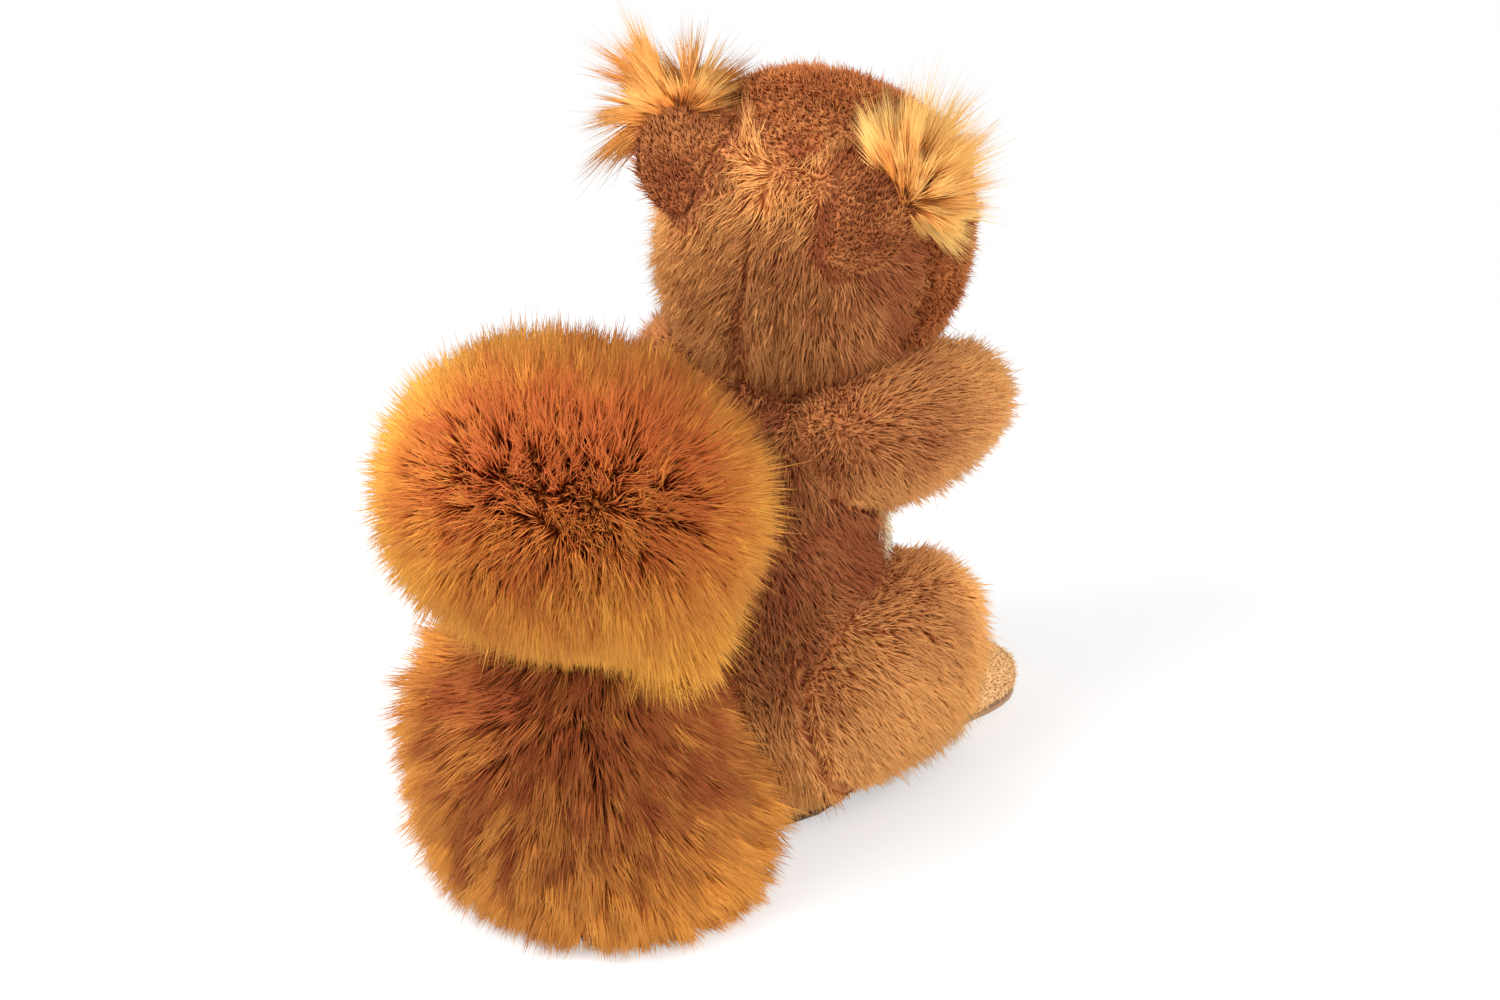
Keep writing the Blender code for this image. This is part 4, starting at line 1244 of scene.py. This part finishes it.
def build_tail():
    """The stuffed core of the tail and its long pile, in two pieces for the curl and two for the mass."""
    made = settings()
    neighbours = BODY_NEIGHBOURS["tail"]
    cover = cover_node("tail", "tail_plush", made.mass.depth, neighbours,
                       backing_material("tail_plush", made.curl), 0.003, 14)
    tree = tree_of_nodes(neighbours)
    form = strand_form()
    for number, (part, coat, lay_of, tone_of) in enumerate(
        (("curl", made.curl, curl_lay, curl_tone), ("mass", made.mass, mass_lay, mass_tone))
    ):
        material = strand_material(f"tail_{part}", coat)
        for layer, layer_share, reach in (("under", 0.45, 0.84), ("top", 0.55, 1.0)):
            rng = generator(20 + 2 * number + (layer == "top"))
            roots, normals = sample_roots(cover.data, coat.density * layer_share, rng)
            free = on_curl(roots) == (part == "curl")
            free &= off_the_floor(roots, normals)
            roots, normals = roots[free], normals[free]
            gap = distances(roots, tree)
            tips = distances(roots + normals * 0.5 * coat.pile, tree)
            free = (gap > SEAM_NEAR) & (tips > -HIDDEN_DEPTH)
            roots, normals = roots[free], normals[free]
            lay = capped(lay_of(roots, normals))
            tones = tone_of(roots, normals, rng)
            lengths = coat.pile * reach * tail_length(roots)
            pile = plant(f"tail_{part}_{layer}_pile", coat, form, roots, normals, lay, lengths,
                         tones, rng, material)
            finish_piece(pile)


def ear_way(side):
    """From the middle of an ear to the middle of its tuft."""
    way = middle_of(f"ear_tuft_{side}") - middle_of(f"ear_{side}")
    return np.array(way.normalized())


def build_ears():
    made = settings()
    form = strand_form()
    for number, (side, _) in enumerate(LEFT_AND_RIGHT):
        way = ear_way(side)

        def ear_lay(points, normals):
            return np.tile(way, (len(points), 1))

        def ear_tone(points, normals, rng):
            return 0.08 + blotches(points, rng, (0.16, 0.005), speckle=0.10)

        fur(f"ear_{side}", f"ear_{side}_plush", made.ear, 10 + number, "short_plush", ear_lay,
            ear_tone, ("head", "face_panel"), voxel=0.0011, smoothing=3, fill=0.4)
        build_tuft(side, made.tuft, form, 30 + number)


def build_tuft(side, coat, form, seed):
    """Long locks out of the upper edge of an ear: each strand runs from a small core to the tuft's edge."""
    rng = generator(seed)
    node, name = f"ear_tuft_{side}", f"ear_tuft_{side}_plush"
    cover = node_copy(node, name)
    points = points_of(cover.data)
    ear = np.array(middle_of(f"ear_{side}"))
    far = np.linalg.norm(points - ear, axis=1)
    foot = points[far < np.quantile(far, TUFT_ROOTED)].mean(0)
    set_points(cover.data, foot + (points - foot) * TUFT_CORE)
    apply_modifier(cover, "REMESH", mode="VOXEL", voxel_size=0.0009)
    apply_modifier(cover, "SMOOTH", factor=0.5, iterations=2)
    cover.data.shade_smooth()
    cover.data.materials.append(backing_material(name, coat))
    roots, normals = sample_roots(cover.data, coat.density, rng)
    spoke = (roots - foot) / TUFT_CORE
    full = np.linalg.norm(spoke, axis=1)
    brush = head_axes()[1] @ np.array(TUFT_BRUSH[side])
    way = unit(unit(spoke) + 0.30 * normals + 0.20 * unit(foot - ear[None]) + brush)
    lengths = (1.0 - TUFT_CORE) * full * (1.15 + 0.30 * mottle(roots, 0.003, rng)) + TUFT_LEAST
    lengths *= 0.95 + 0.30 * smoothstep(0.2, 0.9, way @ brush / np.linalg.norm(brush))
    lengths *= np.where(rng.random(len(roots)) < TUFT_FLUFF, 0.5, 1.0)
    # The side's offset is painted shade on the left tuft and painted light on the right one
    tones = 0.46 + TUFT_LIGHT_AND_SHADE[side] + blotches(roots, rng, (0.24, 0.003), speckle=0.14)
    tones -= 0.5 * smoothstep(*TUFT_MIDDLE, full)
    bend = 0.8 * swirl(roots, 0.004, seed + 20)
    pile = plant(f"ear_tuft_{side}_pile", coat, form, roots, way, bend, lengths, tones, rng,
                 strand_material(name, coat))
    for obj in (cover, pile):
        finish_piece(obj)
    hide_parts(node)


def cloth_panel(node, weave, colour, rounding):
    """A flat panel of cloth in place of a node, with its cut edges rounded by this much."""
    panel = node_copy(node, f"{node}_cloth")
    apply_modifier(panel, "BEVEL", width=rounding, segments=2, limit_method="ANGLE")
    panel.data.shade_smooth()
    panel.data.materials.append(cloth_material(weave, colour))
    finish_piece(panel)
    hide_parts(node)


def build_feet():
    made = settings()
    for number, (side, sign) in enumerate(LEFT_AND_RIGHT):
        foot = f"foot_{side}"

        def foot_lay(points, normals):
            return np.tile((0.3 * sign, -1.0, -0.2), (len(points), 1))

        def foot_tone(points, normals, rng):
            return 0.55 + blotches(points, rng, (0.12, 0.006), speckle=0.14)

        fur(foot, f"{foot}_velour", made.velour, 12 + number, "foot_velour", foot_lay, foot_tone,
            ("torso", f"thigh_{side}", f"sole_{side}"), voxel=0.0016, smoothing=2, fill=0.6,
            floor_gap=0.0)
        cloth_panel(f"sole_{side}", f"sole_{side}_weave", made.cloth.sole, 0.0004)


def build_base():
    cloth_panel("base_panel", "base_weave", settings().cloth.base, 0.0005)


def build_cap(node, material):
    """A smooth plastic cap over a node: its form, with a rounded crown."""
    cap = node_copy(node, f"{node}_cap")
    apply_modifier(cap, "SUBSURF", levels=1, render_levels=1)
    cap.data.shade_smooth()
    cap.data.materials.append(material)
    finish_piece(cap)
    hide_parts(node)


def build_plastic():
    made = settings().plastic
    black = plastic_material("black_plastic", made.black, made.gloss)
    clear = plastic_material("clear_plastic", made.clear, 0.3)
    for node in ("eye_left", "eye_right", "nose"):
        build_cap(node, black)
    for node in ("eye_left_washer", "eye_right_washer", "nose_washer"):
        obj = frame["nodes"][node]
        obj.data.materials.clear()
        obj.data.materials.append(clear)


# Stage


def stage_material(paper):
    """A white floor that keeps the shadows by the toy, and shows plain white further off."""
    material, nodes, links = new_material("white_paper")
    shader = nodes["Principled BSDF"]
    shader.inputs["Base Color"].default_value = (0.92, 0.92, 0.92, 1.0)
    shader.inputs["Roughness"].default_value = 0.9
    shader.inputs["Specular IOR Level"].default_value = 0.1
    light = nodes.new("ShaderNodeEmission")
    path = nodes.new("ShaderNodeLightPath")
    place = nodes.new("ShaderNodeTexCoord")
    away = nodes.new("ShaderNodeVectorMath")
    away.operation = "LENGTH"
    links.new(place.outputs["Object"], away.inputs[0])
    tree = material.node_tree
    plain = map_range(tree, away.outputs["Value"], SHADOW_NEAR, SHADOW_FAR, paper, 1.0)
    seen = math_node(tree, "MAXIMUM", path.outputs["Is Camera Ray"], path.outputs["Is Glossy Ray"])
    seen = math_node(tree, "MAXIMUM", seen, path.outputs["Is Transmission Ray"])
    mix = nodes.new("ShaderNodeMixShader")
    links.new(math_node(tree, "MULTIPLY", seen, plain), mix.inputs[0])
    links.new(shader.outputs[0], mix.inputs[1])
    links.new(light.outputs[0], mix.inputs[2])
    links.new(mix.outputs[0], nodes["Material Output"].inputs["Surface"])
    return material


def build_world(sky):
    """Even white light of this strength, and a white background to the camera."""
    world = bpy.data.worlds.new("studio")
    world.use_nodes = True
    bpy.context.scene.world = world
    tree = world.node_tree
    background = tree.nodes["Background"]
    background.inputs["Color"].default_value = (1.0, 1.0, 1.0, 1.0)
    path = tree.nodes.new("ShaderNodeLightPath")
    seen = math_node(tree, "MAXIMUM", path.outputs["Is Camera Ray"], path.outputs["Is Transmission Ray"])
    feed(tree, background.inputs["Strength"], map_range(tree, seen, 0.0, 1.0, sky, 1.0))


def build_lamp(name, power, size, place, target):
    lamp = bpy.data.lights.new(name, "AREA")
    lamp.energy = power
    lamp.size = size
    obj = new_object(name, lamp)
    obj.location = place
    obj.rotation_mode = "QUATERNION"
    obj.rotation_quaternion = (target - place).to_track_quat("-Z", "Y")


def build_camera(stage):
    """The camera, set so that the origin lands on its place in a picture of 1500 by 1000 pixels."""
    picture_width, picture_height = 1500.0, 1000.0
    origin_x, origin_y = 737.0, 754.0
    right, up, back = view_axes(stage.azimuth, stage.elevation)
    camera = bpy.data.cameras.new("photo_camera")
    camera.lens = stage.lens
    camera.sensor_width = 36.0
    camera.clip_start, camera.clip_end = 0.01, 20.0
    pixel = stage.distance * camera.sensor_width / camera.lens / picture_width
    obj = new_object("photo_camera", camera)
    sideways = (picture_width / 2 - origin_x) * pixel
    upwards = (origin_y - picture_height / 2) * pixel
    place = back * stage.distance + right * sideways + up * upwards
    turn = Matrix((right, up, back)).transposed().to_4x4()
    obj.matrix_world = Matrix.Translation(place) @ turn
    bpy.context.scene.camera = obj


# Each lamp's size, and how far to the right, above and behind its target it stands as the camera looks
KEY_LAMP = (0.7, (-0.75, 0.60, 0.70))
FILL_LAMP = (1.2, (0.85, 0.25, 0.75))
LAMP_TARGET = (0.0, 0.03, 0.07)


def build_stage():
    stage = settings().stage
    scene = bpy.context.scene
    scene.view_settings.view_transform = "Standard"
    bpy.ops.mesh.primitive_plane_add(size=8.0)
    floor = bpy.context.active_object
    floor.name = "floor"
    floor.data.materials.append(stage_material(stage.paper))
    build_world(stage.sky)
    right, up, back = view_axes(stage.azimuth, stage.elevation)
    target = Vector(LAMP_TARGET)
    for name, power, (size, (aside, above, behind)) in (
        ("key_lamp", stage.key, KEY_LAMP),
        ("fill_lamp", stage.fill, FILL_LAMP),
    ):
        place = target + right * aside + up * above + back * behind
        build_lamp(name, power, size, place, target)
    build_camera(stage)


class SQUIRREL_OT_stage(Operator):
    """Adds the floor, the light and the camera"""

    bl_idname = "squirrel.stage"
    bl_label = "Stage"

    def execute(self, context):
        build_stage()
        return {"FINISHED"}


class SQUIRREL_OT_body(Operator):
    """Covers the torso, the arms and the thighs with pile"""

    bl_idname = "squirrel.body"
    bl_label = "Body"

    def execute(self, context):
        build_body()
        return {"FINISHED"}


class SQUIRREL_OT_head(Operator):
    """Covers the back of the head with pile that parts at the crown and the seam"""

    bl_idname = "squirrel.head"
    bl_label = "Head"

    def execute(self, context):
        build_head()
        return {"FINISHED"}


class SQUIRREL_OT_face(Operator):
    """Covers the face with short pile"""

    bl_idname = "squirrel.face"
    bl_label = "Face"

    def execute(self, context):
        build_face()
        return {"FINISHED"}


class SQUIRREL_OT_ears(Operator):
    """Covers the ears with short pile and adds their long tufts"""

    bl_idname = "squirrel.ears"
    bl_label = "Ears"

    def execute(self, context):
        build_ears()
        return {"FINISHED"}


class SQUIRREL_OT_belly(Operator):
    """Covers the belly with cream pile"""

    bl_idname = "squirrel.belly"
    bl_label = "Belly"

    def execute(self, context):
        build_belly()
        return {"FINISHED"}


class SQUIRREL_OT_tail(Operator):
    """Adds the stuffed core of the tail and its long pile"""

    bl_idname = "squirrel.tail"
    bl_label = "Tail"

    def execute(self, context):
        build_tail()
        return {"FINISHED"}


class SQUIRREL_OT_feet(Operator):
    """Covers the feet with velour and adds their soles"""

    bl_idname = "squirrel.feet"
    bl_label = "Feet"

    def execute(self, context):
        build_feet()
        return {"FINISHED"}


class SQUIRREL_OT_base(Operator):
    """Adds the cloth panel that the toy sits on"""

    bl_idname = "squirrel.base"
    bl_label = "Base"

    def execute(self, context):
        build_base()
        return {"FINISHED"}


class SQUIRREL_OT_plastic(Operator):
    """Finishes the eyes, the nose and the washers behind them"""

    bl_idname = "squirrel.plastic"
    bl_label = "Eyes and nose"

    def execute(self, context):
        build_plastic()
        return {"FINISHED"}


OPERATORS = (
    SQUIRREL_OT_stage,
    SQUIRREL_OT_body,
    SQUIRREL_OT_head,
    SQUIRREL_OT_face,
    SQUIRREL_OT_ears,
    SQUIRREL_OT_belly,
    SQUIRREL_OT_tail,
    SQUIRREL_OT_feet,
    SQUIRREL_OT_base,
    SQUIRREL_OT_plastic,
)


class SQUIRREL_PT_panel(Panel):
    """Lists the pieces in the order that they are made"""

    bl_label = "Plush squirrel"
    bl_space_type = "VIEW_3D"
    bl_region_type = "UI"
    bl_category = "Squirrel"

    def draw(self, context):
        column = self.layout.column(align=True)
        for operator in OPERATORS:
            column.operator(operator.bl_idname)


GROUPS = (
    BackPile,
    ShortPile,
    EarPile,
    CurlPile,
    MassPile,
    TuftPile,
    BellyPile,
    FootVelour,
    HeadSettings,
    CurlSettings,
    PlasticSettings,
    ClothSettings,
    StageSettings,
    SquirrelSettings,
)
CLASSES = (*GROUPS, *OPERATORS, SQUIRREL_PT_panel)


def register():
    for cls in CLASSES:
        bpy.utils.register_class(cls)
    bpy.types.Scene.plush_squirrel = PointerProperty(type=SquirrelSettings)


def unregister():
    del bpy.types.Scene.plush_squirrel
    for cls in reversed(CLASSES):
        bpy.utils.unregister_class(cls)


def main():
    for obj in [o for o in bpy.data.objects if o.name in ("Cube", "Light", "Camera")]:
        bpy.data.objects.remove(obj)
    register()
    bpy.ops.squirrel.stage()
    bpy.ops.squirrel.body()
    bpy.ops.squirrel.head()
    bpy.ops.squirrel.face()
    bpy.ops.squirrel.ears()
    bpy.ops.squirrel.belly()
    bpy.ops.squirrel.tail()
    bpy.ops.squirrel.feet()
    bpy.ops.squirrel.base()
    bpy.ops.squirrel.plastic()


if __name__ == "__main__":
    main()
